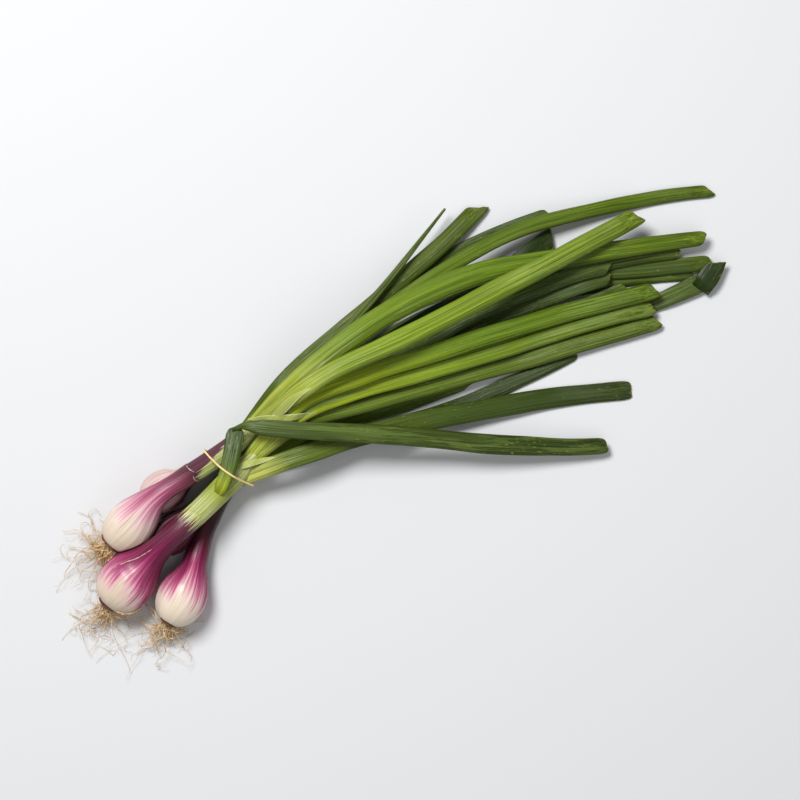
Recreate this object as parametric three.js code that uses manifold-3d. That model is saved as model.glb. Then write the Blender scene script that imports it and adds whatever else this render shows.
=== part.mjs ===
// A bunch of five red spring onions lying flat, tied at the necks with one rubber band.
// Millimetres, +Z up. +X runs from the bulbs to the leaf tips. The plan is drawn about the band,
// and the finished group is moved so that its origin is the middle of its own footprint.
import * as THREE from "three";
import { mergeVertices } from "three/addons/utils/BufferGeometryUtils.js";
import Module from "manifold-3d";

const wasm = await Module();
wasm.setup();

// Driving dimensions
const CLEARANCE = 0.3; // air between pieces that touch in life
const LAYER_GAP = 0.6; // air between a leaf and what it lies on
const BULB_SIDES = 14;
const BULB_RINGS = 21;
const STEM_RINGS = 8;
const AXIS_REACH = 0.7; // stations either side over which an onion's direction is taken
const COLOUR_GAP = 0.03; // share of a station left open each side of where the purple neck turns green
const LEAF_SIDES = 8;
const LEAF_STEP = 22; // distance between the rings of a leaf
const TIP_LENGTH = 0.6; // length of a leaf's rounded tip, in shares of its last width
const TIP_RINGS = [0, 0.65, 1]; // where a tip has its rings, in shares of its length
const ROOT_SIDES = 3;
const ROOT_RINGS = 6;
const ROOT_RADIUS = 0.6;
const ROOT_TRIES = 12; // places tried for a root before it is left out
const PLATE_THICKNESS = 1.5; // basal plate, which the roots grow from
const BAND_SIDES = 6;
const BAND_RINGS = 40;
const BAND_RADIUS = 0.6;
const BAND_MIDDLE = [-1, -1]; // where the band crosses the bunch, in plan
const BAND_ANGLE = -64; // direction of the band's top run in plan, degrees from +X
const BAND_BOW = 2.2; // how far the top run bellies towards the bulbs
const BAND_RISE = { low: 4, high: 16 }; // heights between which the belly sets in

// Heights of leaves: they are laid one by one on the floor and on what is already there.
const CELL = 1;
const GRID = { x: -130, y: -120, columns: 500, rows: 240 };
const LAY_STEP = 2; // spacing of the points at which a leaf feels what is under it
const LEAF_SLOPE = 0.16; // steepest that a leaf climbs or sinks
const SOFTEN = 7; // points over which its height is evened out
const FOLD_STEP = 1; // how far above the end of its lower part a folded leaf goes on

// Each onion: stations [x, y, z, radius] from the root end, through bulb and neck, to the fan of
// leaves. greenFrom is the station where the purple neck ends and the green stem begins.
const ONIONS = {
  a: {
    stations: [
      [-85.3, -8.6, 14.6, 5], [-84.3, -8.2, 14.8, 8], [-82, -7.4, 15.2, 10.7], [-78, -6, 16, 13],
      [-73.5, -4.5, 17.2, 14.1], [-68.5, -2.7, 18.9, 14.3], [-62, -0.3, 22.2, 13],
      [-55.3, 2.2, 26.4, 10.3], [-48.5, 4.2, 29.8, 7.8], [-40.5, 5.4, 31.3, 6.4],
      [-32, 6, 30.4, 6.2], [-23, 6.9, 27, 6.2], [-12, 7.8, 22, 6.3], [0, 9, 18.4, 6.4],
      [12, 11, 17.2, 6.2], [25.5, 14.4, 16.8, 6.4],
    ],
    greenFrom: 11,
    rootCount: 17,
    rootFan: [120, 232],
    rootReach: [14, 33],
  },
  b: {
    stations: [
      [-104.6, -39.5, 14.8, 4.5], [-103.4, -39, 14.9, 8.4], [-100.8, -37.9, 15.1, 12],
      [-97, -36.3, 15.5, 14.7], [-92.3, -34.4, 15.8, 16.3], [-87.4, -32.5, 16, 16.8],
      [-80.6, -30.1, 17, 16], [-73.2, -27.8, 19.8, 12.5], [-65.7, -25.4, 24, 9],
      [-56, -22.5, 28.8, 7.4], [-44, -19.4, 31.4, 7], [-31, -16.1, 30, 7], [-20, -12.9, 26, 7.1],
      [-9, -9.4, 21.8, 7.3], [3, -5.6, 19.2, 7.5], [16, -1, 18.2, 7.2],
    ],
    greenFrom: 11,
    rootCount: 17,
    rootFan: [168, 298],
    rootReach: [14, 34],
  },
  c: {
    stations: [
      [-77.3, -65, 13.6, 4.6], [-76.4, -64.5, 13.7, 7.8], [-74.2, -63.2, 13.9, 10.7],
      [-71, -61.3, 14.1, 13], [-66.6, -58.6, 14.3, 14.6], [-61.9, -55.6, 14.3, 15.1],
      [-56.6, -51.4, 14.3, 13.9], [-51.2, -46.6, 13.9, 10.4], [-46.6, -41.9, 13, 8],
      [-40.8, -35.6, 11.4, 7], [-33.6, -28.4, 9.6, 6.3], [-24, -21.2, 8, 5.6],
      [-12.7, -13.6, 7, 4.9], [0, -9.4, 6.8, 4.8], [14, -7.4, 6.6, 5],
    ],
    greenFrom: 12,
    rootCount: 14,
    rootFan: [192, 272],
    rootReach: [13, 34],
  },
  d: {
    stations: [
      [-56.2, 4.8, 11.6, 4], [-55.2, 4.9, 11.7, 6.8], [-52.8, 5.1, 11.8, 9.6], [-49.4, 5.3, 11.9, 11.6],
      [-45.6, 5.5, 11.9, 12.5], [-41.2, 5.7, 11.9, 12.6], [-36, 5.9, 11.6, 11.3], [-31, 6.1, 10.8, 8.4],
      [-25.8, 6.5, 9.6, 6.2], [-19, 7, 8, 5.2], [-8, 8, 6.8, 4.6], [6, 10.6, 6.4, 4.5],
      [21, 14.2, 6.2, 4.8],
    ],
    greenFrom: 10,
    rootCount: 4,
    rootFan: [170, 230],
    rootReach: [6, 10],
  },
  e: {
    stations: [
      [-62, -23.6, 11.1, 4], [-61, -23.3, 11.1, 6.6], [-58.7, -22.6, 11.2, 9.2], [-55.4, -21.6, 11.2, 11],
      [-51.8, -20.5, 11.2, 11.8], [-47.8, -19.4, 11.2, 11.9], [-42.8, -17.9, 11, 10.6],
      [-37.4, -16.2, 10.3, 8.3], [-31.4, -14.2, 9.2, 6.4], [-22, -11, 7.8, 5.2],
      [-8, -5.6, 6.6, 4.6], [5, -1.6, 6.3, 4.4], [18, 2.6, 6.1, 4.6],
    ],
    greenFrom: 10,
    rootCount: 4,
    rootFan: [185, 240],
    rootReach: [6, 10],
  },
};

// Each leaf, from the lowest in the pile to the highest: the onion it grows on, its route in plan
// from inside the stem to its tip, its widths at even steps along it, its thickness, and the share
// of its last width that its tip narrows to. tuck is how far it takes to leave the stem's height.
// A leaf with opens starts narrow, at the share start of its width, and has opened after that far.
const LEAVES = [
  { name: "e4", onion: "e", thick: 2.4, tip: 0.6, tuck: 60, widths: [6, 8, 8.4, 8.4, 7.8],
    route: [[10, 1], [88, 12], [175, 10], [247, -8], [301, -28]] },
  { name: "e3", onion: "e", thick: 2.8, tip: 0.5, tuck: 60, widths: [6, 8, 9, 9.8, 9.4],
    route: [[10, 1], [89, 21], [162, 23], [228, 8], [279, -14], [314, -28]] },
  { name: "d4", onion: "d", thick: 2.4, tip: 0.5, tuck: 60, widths: [6, 7.5, 8, 8, 6.6],
    route: [[12, 12], [90, 16], [147, 20], [193, 17], [260, 0], [299, -14]] },
  { name: "c4", onion: "c", thick: 2.2, tip: 0.9, tuck: 60, widths: [6, 7, 6.4, 6.6, 12],
    route: [[8, -8], [60, -8], [113, -5], [188, -17], [248, -32], [272, -34], [304, -36]] },
  { name: "c4_fold", onion: "c", thick: 1.6, tip: 0.9, tuck: 5, widths: [11.5, 12.5, 10.5],
    route: [[300, -39], [308, -35], [316.5, -29.5]], onLeaf: "c4" },
  { name: "c2", onion: "c", thick: 2.6, tip: 0.5, tuck: 50, widths: [6, 8, 8.4, 8, 7],
    route: [[8, -8], [69, -10], [113, -17], [150, -25]] },
  { name: "c1", onion: "c", thick: 2.6, tip: 0.4, tuck: 50, widths: [6, 8.4, 9.4, 9.4, 7],
    route: [[8, -8], [67, -17], [126, -31], [175, -36], [216, -38]] },
  { name: "c3", onion: "c", thick: 2.8, tip: 0.5, tuck: 50, widths: [6, 8, 8.4, 8.4, 7.8],
    route: [[8, -8], [45, -5], [100, -3], [180, -7], [224, -14], [261, -17]] },
  { name: "d3", onion: "d", thick: 2.6, tip: 0.7, tuck: 60, widths: [6, 8.4, 9.4, 10.6, 12.2],
    route: [[12, 12], [92, 20], [142, 23], [185, 23], [236, 31]] },
  { name: "d2", onion: "d", thick: 2.6, tip: 0.5, tuck: 50, widths: [6, 8, 8.4, 8.4, 7.6],
    route: [[12, 12], [83, 28], [134, 41.5], [165, 49], [200, 49], [241, 44.5]] },
  { name: "d1", onion: "d", thick: 3, tip: 0.7, tuck: 40, widths: [6.5, 9, 10.2, 10.4, 11],
    route: [[12, 13], [54, 31], [96, 40], [148, 52], [178, 59], [206, 67]] },
  { name: "e2", onion: "e", thick: 2.8, tip: 0.5, tuck: 60, widths: [6, 8, 8.4, 8.4, 7.8],
    route: [[10, 0], [77, 4], [145, 5], [211, -1], [255, -7]] },
  { name: "e1", onion: "e", thick: 3, tip: 0.5, tuck: 60, widths: [6, 8.4, 9.4, 9.8, 9],
    route: [[10, 1], [73, 9], [120, 10], [170, 11], [230, 5], [258, -1]] },
  { name: "b4", onion: "b", thick: 2.8, tip: 0.7, tuck: 50, widths: [11, 12, 12.6, 12.6, 11.4],
    route: [[0, -9], [20, -11.5], [46, -15.5], [95, -25], [142, -39], [198, -58], [235, -73]] },
  { name: "b3", onion: "b", thick: 4, tip: 0.5, tuck: 50, widths: [9, 8.4, 10, 11.2, 10.2],
    route: [[8, -4], [50, 2.5], [90, -6.5], [140, -17], [183, -26], [220, -34], [269, -44.5]] },
  { name: "b2", onion: "b", thick: 4.4, tip: 0.5, tuck: 50, widths: [9, 9.4, 11, 11.2, 10.4],
    route: [[8, -3], [52, 7], [83, 4], [144, -8], [229, -25], [270, -35]] },
  { name: "b1", onion: "b", thick: 4.4, tip: 0.6, tuck: 50, widths: [9, 10.4, 11, 11.4, 10.6],
    route: [[8, -3], [54, 13], [98, 10], [141, 2], [220, -13], [276, -27]] },
  { name: "a4", onion: "a", thick: 2.4, tip: 0.1, tuck: 50, widths: [6, 6.4, 5.6, 3.8, 1.6],
    route: [[18, 13], [62, 27], [99, 39], [146, 58], [187, 76]] },
  { name: "a3", onion: "a", thick: 3.6, tip: 0.5, tuck: 50, widths: [7, 8.4, 8.8, 9, 8],
    route: [[18, 13], [85, 32], [133, 40], [173, 43.5], [212, 44], [247, 38.5], [301, 23], [334, 10]] },
  { name: "a2", onion: "a", thick: 5, tip: 0.5, tuck: 50, widths: [9.6, 12.4, 14.2, 13.6, 12, 8.8],
    route: [[16, 12], [56, 25], [96, 33], [131, 36], [183, 32], [236, 16], [317, -13]] },
  { name: "a1", onion: "a", thick: 4.6, tip: 0.8, tuck: 50, widths: [9.6, 11, 12.4, 13, 12.4, 11.4],
    route: [[16, 12], [58, 19], [88, 21], [143, 18], [220, 17.5], [287, 17.5]] },
  { name: "b5_rise", onion: "b", thick: 2, tip: 0.3, tuck: 11, widths: [7, 8.8, 10, 11, 11.4],
    route: [[-19, -13.5], [-11.5, -10], [-3.5, -3.5], [3, 3.5], [9, 11], [14.6, 18.5]] },
  { name: "b5_fold", onion: "b", thick: 1.8, tip: 0.6, tuck: 12, widths: [9, 11, 11.6, 11.8, 9.8],
    opens: { start: 0.25, after: 20 },
    route: [[11.8, 18.4], [19, 17.2], [27, 12], [46, 0], [88, -25], [138, -58], [179, -82], [206, -96]],
    onLeaf: "b5_rise" },
];

const LOOKS = {
  bulb: { color: 0xc78aa6, roughness: 0.35, metalness: 0 },
  leaves: { color: 0x6f9a34, roughness: 0.5, metalness: 0 },
  roots: { color: 0xc8a473, roughness: 0.8, metalness: 0 },
  band: { color: 0xe6c084, roughness: 0.6, metalness: 0 },
};

// ---------------------------------------------------------------- curves and solids

// Catmull-Rom value at station t of rows of numbers, t counted in rows.
function along(rows, t) {
  const i = Math.min(Math.floor(t), rows.length - 2);
  const f = t - i;
  const [p, a, b, q] = [i - 1, i, i + 1, i + 2].map(
    (k) => rows[Math.min(Math.max(k, 0), rows.length - 1)]
  );
  return a.map(
    (_, k) =>
      0.5 *
      (2 * a[k] +
        (b[k] - p[k]) * f +
        (2 * p[k] - 5 * a[k] + 4 * b[k] - q[k]) * f * f +
        (3 * a[k] - p[k] - 3 * b[k] + q[k]) * f ** 3)
  );
}

function range(count) {
  return Array.from({ length: count }, (_, i) => i);
}

// Evenly spaced points on a plan route, each with its distance along it.
function evenRoute(route, step) {
  const perLeg = 40;
  const fine = range(perLeg * (route.length - 1) + 1).map((i) => along(route, i / perLeg));
  const reach = [0];
  for (let i = 1; i < fine.length; i++) {
    reach.push(reach[i - 1] + Math.hypot(fine[i][0] - fine[i - 1][0], fine[i][1] - fine[i - 1][1]));
  }
  const length = reach.at(-1);
  const count = Math.max(2, Math.round(length / step) + 1);
  let k = 0;
  return range(count).map((i) => {
    const s = (length * i) / (count - 1);
    while (k < reach.length - 2 && reach[k + 1] < s) k++;
    const f = (s - reach[k]) / (reach[k + 1] - reach[k]);
    return { s, length, x: THREE.MathUtils.lerp(fine[k][0], fine[k + 1][0], f),
      y: THREE.MathUtils.lerp(fine[k][1], fine[k + 1][1], f) };
  });
}

// A closed solid through rings: each ring has a centre, half width across and half height, and may
// have the direction it faces.
function loft(rings, sides) {
  const up = new THREE.Vector3(0, 0, 1);
  const vertices = [];
  rings.forEach((ring, i) => {
    const ahead = rings[Math.min(i + 1, rings.length - 1)].centre;
    const behind = rings[Math.max(i - 1, 0)].centre;
    const forward = ring.forward ?? ahead.clone().sub(behind).normalize();
    const across = forward.clone().cross(up).normalize();
    const top = across.clone().cross(forward);
    for (let k = 0; k < sides; k++) {
      const turn = (2 * Math.PI * (k + 0.5)) / sides;
      vertices.push(
        ring.centre
          .clone()
          .addScaledVector(across, ring.wide * Math.cos(turn))
          .addScaledVector(top, ring.high * Math.sin(turn))
      );
    }
  });
  const first = vertices.push(rings[0].centre.clone()) - 1;
  const last = vertices.push(rings.at(-1).centre.clone()) - 1;
  const index = [];
  for (let i = 0; i < rings.length - 1; i++) {
    for (let k = 0; k < sides; k++) {
      const [a, b] = [i * sides + k, i * sides + ((k + 1) % sides)];
      index.push(a, b, b + sides, a, b + sides, a + sides);
    }
  }
  const end = (rings.length - 1) * sides;
  for (let k = 0; k < sides; k++) {
    const next = (k + 1) % sides;
    index.push(first, next, k, last, end + k, end + next);
  }
  return facing(vertices, index);
}

// A BufferGeometry whose faces point out, whichever way round the index was given.
function facing(vertices, index) {
  let volume = 0;
  for (let i = 0; i < index.length; i += 3) {
    const [a, b, c] = [vertices[index[i]], vertices[index[i + 1]], vertices[index[i + 2]]];
    volume += a.dot(b.clone().cross(c));
  }
  if (volume < 0) index.reverse();
  const geometry = new THREE.BufferGeometry().setFromPoints(vertices);
  geometry.setIndex(index);
  return geometry;
}

function solid(geometry) {
  geometry.deleteAttribute("normal");
  geometry.deleteAttribute("uv");
  const merged = mergeVertices(geometry, 1e-4);
  return new wasm.Manifold(
    new wasm.Mesh({
      numProp: 3,
      vertProperties: new Float32Array(merged.attributes.position.array),
      triVerts: new Uint32Array(merged.index.array),
    })
  );
}

function joined(solids) {
  return solids.reduce((whole, next) => whole.add(next));
}

// The outer body of a solid: scraps that a cut leaves loose and hollows sealed inside are dropped.
function mainBody(shape) {
  return shape.decompose().sort((p, q) => q.volume() - p.volume())[0];
}

function geometryOf(shape) {
  const mesh = shape.getMesh();
  const geometry = new THREE.BufferGeometry();
  geometry.setAttribute("position", new THREE.BufferAttribute(new Float32Array(mesh.vertProperties), 3));
  geometry.setIndex([...mesh.triVerts]);
  geometry.computeVertexNormals();
  return geometry;
}

// ---------------------------------------------------------------- bulbs, necks and stems

// The length of an onion between two stations, made fatter by grow. Its rings face along the
// onion's own axis, so that the bulb and the stem meet in one plane.
function shaft({ stations }, from, to, ringCount, grow = 0) {
  const last = stations.length - 1;
  const rowAt = (t) => along(stations, THREE.MathUtils.clamp(t, 0, last));
  const centreAt = (t) => new THREE.Vector3().fromArray(rowAt(t));
  const rings = range(ringCount).map((i) => {
    const t = from + ((to - from) * i) / (ringCount - 1);
    const radius = rowAt(t)[3] + grow;
    const forward = centreAt(t + AXIS_REACH).sub(centreAt(t - AXIS_REACH)).normalize();
    return { centre: centreAt(t), wide: radius, high: radius, forward };
  });
  return loft(rings, BULB_SIDES);
}

// The floor under the bulbs: everything there below z = 0.
function floorBlock() {
  const [size, depth] = [600, 20];
  return solid(new THREE.BoxGeometry(size, size, depth).translate(0, 0, -depth / 2));
}

// ---------------------------------------------------------------- the pile of leaves

const tops = new Float64Array(GRID.columns * GRID.rows);

function cellOf(x, y) {
  const column = Math.round((x - GRID.x) / CELL);
  const row = Math.round((y - GRID.y) / CELL);
  return row * GRID.columns + column;
}

function raiseGround(x, y, height) {
  const cell = cellOf(x, y);
  tops[cell] = Math.max(tops[cell], height);
}

function groundUnder(x, y) {
  let highest = 0;
  for (const dx of [-CELL, 0, CELL]) {
    for (const dy of [-CELL, 0, CELL]) highest = Math.max(highest, tops[cellOf(x + dx, y + dy)]);
  }
  return highest;
}

// Marks the top of a run of rings on the ground.
function coverGround(rings) {
  for (let i = 0; i < rings.length - 1; i++) {
    const [a, b] = [rings[i], rings[i + 1]];
    const forward = b.centre.clone().sub(a.centre).setZ(0);
    const steps = Math.ceil(forward.length() / (CELL / 2)) + 1;
    const [sx, sy] = [forward.y, -forward.x].map((v) => v / forward.length());
    for (const step of range(steps)) {
      const f = step / (steps - 1);
      const centre = a.centre.clone().lerp(b.centre, f);
      const wide = THREE.MathUtils.lerp(a.wide, b.wide, f);
      const high = THREE.MathUtils.lerp(a.high, b.high, f);
      for (let o = -wide; o <= wide; o += CELL / 2) {
        raiseGround(centre.x + sx * o, centre.y + sy * o, centre.z + high * Math.sqrt(1 - (o / wide) ** 2));
      }
    }
  }
}

function tipLength(leaf) {
  return TIP_LENGTH * leaf.widths.at(-1);
}

function leafWidth(leaf, s, length) {
  const share = (s / length) * (leaf.widths.length - 1);
  const { start, after } = leaf.opens ?? { start: 1, after: 1 };
  const opened = THREE.MathUtils.lerp(start, 1, THREE.MathUtils.smoothstep(s, 0, after));
  const width = opened * along(leaf.widths.map((w) => [w]), share)[0];
  const left = (length - s) / tipLength(leaf);
  if (left >= 1) return width;
  return width * THREE.MathUtils.lerp(leaf.tip, 1, Math.sqrt(1 - (1 - left) ** 2));
}

// Heights that clear what lies under a leaf, no steeper than LEAF_SLOPE, then evened out.
function restingHeights(leaf, points) {
  const feelers = range(9).map((k) => (k - 4) / 4);
  const needed = points.map((p, i) => {
    const [a, b] = [points[Math.max(i - 1, 0)], points[Math.min(i + 1, points.length - 1)]];
    const run = Math.hypot(b.x - a.x, b.y - a.y);
    const [sx, sy] = [(b.y - a.y) / run, -(b.x - a.x) / run];
    const half = leafWidth(leaf, p.s, p.length) / 2;
    return Math.max(
      ...feelers.map((o) => {
        const ground = groundUnder(p.x + sx * o * half, p.y + sy * o * half);
        const gap = ground > 0 ? LAYER_GAP : 0;
        return ground + gap + (leaf.thick / 2) * Math.sqrt(1 - o * o);
      })
    );
  });
  const stiff = needed.map((_, i) =>
    Math.max(...needed.map((z, k) => z - LEAF_SLOPE * Math.abs(points[i].s - points[k].s)))
  );
  return evened(evened(stiff));
}

// Each height becomes the mean of the highest ones near it, so that none falls below its need.
function evened(heights) {
  const reach = (SOFTEN + 1) / 2;
  const near = (list, i, side) =>
    range(2 * side + 1).map((k) => list[THREE.MathUtils.clamp(i + k - side, 0, list.length - 1)]);
  const highest = heights.map((_, i) => Math.max(...near(heights, i, reach)));
  return highest.map((_, i) => near(highest, i, reach - 1).reduce((sum, z) => sum + z, 0) / SOFTEN);
}

const laid = {}; // each leaf's points with their heights

function layLeaf(leaf) {
  const points = evenRoute(leaf.route, LAY_STEP);
  const free = restingHeights(leaf, points);
  const under = leaf.onLeaf ? laid[leaf.onLeaf].at(-1).z + FOLD_STEP : null;
  const start = under ?? stemHeight(leaf.onion, leaf.route[0][0]);
  points.forEach((p, i) => {
    p.z = THREE.MathUtils.lerp(start, free[i], THREE.MathUtils.smoothstep(p.s, 0, leaf.tuck));
  });
  laid[leaf.name] = points;
  coverGround(points.map((p) => ringAt(leaf, p, 0)));
}

// The height of an onion's stem at a place along the bunch.
function stemHeight(name, x) {
  const rows = ONIONS[name].stations;
  const next = rows.findIndex((row) => row[0] > x);
  const [a, b] = [rows[next - 1], rows[next]];
  return THREE.MathUtils.mapLinear(x, a[0], b[0], a[2], b[2]);
}

function ringAt(leaf, point, grow) {
  return {
    centre: new THREE.Vector3(point.x, point.y, point.z),
    wide: leafWidth(leaf, point.s, point.length) / 2 + grow,
    high: leaf.thick / 2 + grow,
  };
}

// A leaf's rings: evenly along it, and closer in its tip. grow makes it fatter.
function leafRings(leaf, grow) {
  const points = laid[leaf.name];
  const body = points.at(-1).s - tipLength(leaf);
  const count = Math.max(3, Math.round(body / LEAF_STEP) + 1);
  const places = [
    ...range(count - 1).map((i) => (body * i) / (count - 1)),
    ...TIP_RINGS.map((share) => body + share * tipLength(leaf)),
  ];
  const last = points.length - 1;
  return places.map((s) => ringAt(leaf, points[Math.round((s / points[last].s) * last)], grow));
}

// ---------------------------------------------------------------- roots

// Repeatable draws between 0 and 1.
function drawer(seed) {
  let state = seed;
  return () => {
    state = (state * 16807) % 2147483647;
    return state / 2147483647;
  };
}

function rootEnd(onion) {
  const [near, far] = [along(onion.stations, 0), along(onion.stations, 1)];
  const centre = new THREE.Vector3(...near.slice(0, 3));
  const outward = centre.clone().sub(new THREE.Vector3(...far.slice(0, 3))).normalize();
  return { centre, outward, radius: near[3] };
}

// A low disc with rounded rims, just off the bulb's root end.
function basalPlate({ centre, outward, radius }) {
  const rims = [[CLEARANCE, 0.95], [PLATE_THICKNESS / 2, 0.98], [PLATE_THICKNESS, 0.7]];
  const rings = rims.map(([s, share]) => ({
    centre: centre.clone().addScaledVector(outward, s),
    wide: radius * share,
    high: radius * share,
  }));
  return solid(loft(rings, BULB_SIDES));
}

// How one root grows: where it leaves the plate, its heading and length, and how it waves and sinks.
function rootHabit(onion, spread, draw) {
  const scatter = 0.35;
  return {
    angle: spread + (draw() - 0.5) * scatter,
    reach: THREE.MathUtils.lerp(...onion.rootReach, draw()),
    aside: draw() - 0.5,
    upward: draw() - 0.5,
    wave: (draw() - 0.5) * 10,
    turns: 1 + 0.6 * draw(),
    low: ROOT_RADIUS + 0.4 + draw() * 7,
  };
}

// One wavy root that leaves the plate and sinks towards the floor.
function root(end, habit, grow = 0) {
  const heading = new THREE.Vector3(Math.cos(habit.angle), Math.sin(habit.angle), 0);
  const aside = new THREE.Vector3(-heading.y, heading.x, 0);
  const start = end.centre.clone().addScaledVector(end.outward, PLATE_THICKNESS / 2);
  start.addScaledVector(aside, habit.aside * end.radius);
  start.z += habit.upward * end.radius;
  const [sinkSpeed, taper] = [1.15, 0.25];
  const rings = range(ROOT_RINGS).map((i) => {
    const t = i / (ROOT_RINGS - 1);
    const sideways = habit.wave * Math.sin(Math.PI * t * habit.turns) * t;
    const centre = start.clone().addScaledVector(heading, habit.reach * t).addScaledVector(aside, sideways);
    centre.z = THREE.MathUtils.lerp(start.z, habit.low, Math.min(1, t * sinkSpeed) ** 1.3);
    const radius = ROOT_RADIUS * (1 - taper * t) + grow;
    return { centre, wide: radius, high: radius };
  });
  return solid(loft(rings, ROOT_SIDES));
}

// Roots of one onion, in a fan, leaving out any that would touch what is already in place.
function rootCluster(onion, draw, inPlace, othersWithAir) {
  const end = rootEnd(onion);
  const parts = [basalPlate(end)];
  const [low, high] = onion.rootFan.map(THREE.MathUtils.degToRad);
  for (const i of range(onion.rootCount)) {
    const spread = THREE.MathUtils.lerp(low, high, (i + 0.5) / onion.rootCount);
    for (let tries = 0; tries < ROOT_TRIES; tries++) {
      const habit = rootHabit(onion, spread, draw);
      if (root(end, habit, CLEARANCE).intersect(inPlace).volume() > 0) continue;
      parts.push(root(end, habit));
      break;
    }
  }
  return mainBody(joined(parts).subtract(othersWithAir));
}

// ---------------------------------------------------------------- rubber band

// Corners of the smallest convex outline round plane points.
function hull(points) {
  const sorted = [...points].sort((p, q) => p.x - q.x || p.y - q.y);
  const turn = (o, p, q) => (p.x - o.x) * (q.y - o.y) - (p.y - o.y) * (q.x - o.x);
  const half = (list) => {
    const chain = [];
    for (const p of list) {
      while (chain.length > 1 && turn(chain.at(-2), chain.at(-1), p) <= 0) chain.pop();
      chain.push(p);
    }
    return chain.slice(0, -1);
  };
  return [...half(sorted), ...half(sorted.reverse())];
}

// The taut ring round everything that passes through the band's upright plane.
function rubberBand(held) {
  const angle = THREE.MathUtils.degToRad(BAND_ANGLE);
  const run = new THREE.Vector3(Math.cos(angle), Math.sin(angle), 0);
  const ahead = new THREE.Vector3(-run.y, run.x, 0);
  const middle = new THREE.Vector3(...BAND_MIDDLE, 0);
  const [reach, thick] = [90, 2 * (BAND_BOW + 1)];
  const slice = new THREE.BoxGeometry(reach, thick, reach).rotateZ(angle).translate(middle.x, middle.y, 0);
  const section = held.intersect(solid(slice)).getMesh();
  const spots = range(section.vertProperties.length / 3).map((i) => {
    const p = new THREE.Vector3().fromArray(section.vertProperties, 3 * i).sub(middle);
    return new THREE.Vector2(p.dot(run), p.z);
  });
  const [away, sides] = [BAND_RADIUS + CLEARANCE, 12];
  const turns = range(sides).map((k) => (2 * Math.PI * k) / sides);
  const rim = turns.map((turn) => new THREE.Vector2(Math.cos(turn), Math.sin(turn)).multiplyScalar(away));
  const outline = hull(spots.flatMap((spot) => rim.map((side) => spot.clone().add(side))));
  const [left, right] = [Math.min, Math.max].map((pick) => pick(...outline.map((p) => p.x)));
  const centreline = evenLoop(outline, BAND_RINGS).map((p) => {
    const share = (2 * (p.x - left)) / (right - left) - 1;
    const bow = BAND_BOW * (1 - share ** 2) * THREE.MathUtils.smoothstep(p.y, BAND_RISE.low, BAND_RISE.high);
    return middle.clone().addScaledVector(run, p.x).addScaledVector(ahead, -bow).setZ(p.y);
  });
  return ring(centreline, ahead);
}

function evenLoop(corners, count) {
  const closed = [...corners, corners[0]];
  const reach = [0];
  for (let i = 1; i < closed.length; i++) reach.push(reach[i - 1] + closed[i].distanceTo(closed[i - 1]));
  return range(count).map((i) => {
    const s = (reach.at(-1) * i) / count;
    const k = reach.findIndex((r) => r > s) - 1;
    return closed[k].clone().lerp(closed[k + 1], (s - reach[k]) / (reach[k + 1] - reach[k]));
  });
}

// A closed round cord through a loop of points, all near one plane.
function ring(loop, normal) {
  const count = loop.length;
  const vertices = loop.flatMap((centre, i) => {
    const forward = loop[(i + 1) % count].clone().sub(loop[(i + count - 1) % count]).normalize();
    const out = forward.clone().cross(normal).normalize();
    return range(BAND_SIDES).map((k) => {
      const turn = (2 * Math.PI * k) / BAND_SIDES;
      return centre
        .clone()
        .addScaledVector(out, BAND_RADIUS * Math.cos(turn))
        .addScaledVector(normal, BAND_RADIUS * Math.sin(turn));
    });
  });
  const index = [];
  for (const i of range(count)) {
    for (const k of range(BAND_SIDES)) {
      const [a, b] = [i, (i + 1) % count].map((r) => r * BAND_SIDES + k);
      const [c, d] = [i, (i + 1) % count].map((r) => r * BAND_SIDES + ((k + 1) % BAND_SIDES));
      index.push(a, c, d, a, d, b);
    }
  }
  return solid(facing(vertices, index));
}

// ---------------------------------------------------------------- assembly

function bulbSolid(onion, grow = 0) {
  return solid(shaft(onion, 0, onion.greenFrom - COLOUR_GAP, BULB_RINGS, grow));
}

function greenSolid(name, grow = 0) {
  const onion = ONIONS[name];
  const last = onion.stations.length - 1;
  const stem = solid(shaft(onion, onion.greenFrom + COLOUR_GAP, last, STEM_RINGS, grow));
  const blades = LEAVES.filter((leaf) => leaf.onion === name);
  return joined([stem, ...blades.map((leaf) => solid(loft(leafRings(leaf, grow), LEAF_SIDES)))]);
}

function stemRings({ stations, greenFrom }) {
  const count = 12;
  const last = stations.length - 1;
  return range(count).map((i) => {
    const [x, y, z, radius] = along(stations, greenFrom + ((last - greenFrom) * i) / (count - 1));
    return { centre: new THREE.Vector3(x, y, z), wide: radius, high: radius };
  });
}

// Lays the leaves: those of the three lower onions, then all the stems, then those of the upper two.
function pile() {
  LEAVES.filter((leaf) => "cde".includes(leaf.onion)).forEach(layLeaf);
  Object.values(ONIONS).forEach((onion) => coverGround(stemRings(onion)));
  LEAVES.filter((leaf) => "ab".includes(leaf.onion)).forEach(layLeaf);
}

// The bulbs of every other onion with a layer of air round them.
function airRoundOthers(name) {
  const others = Object.keys(ONIONS).filter((other) => other !== name);
  return joined(others.map((other) => bulbSolid(ONIONS[other], CLEARANCE)));
}

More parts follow.
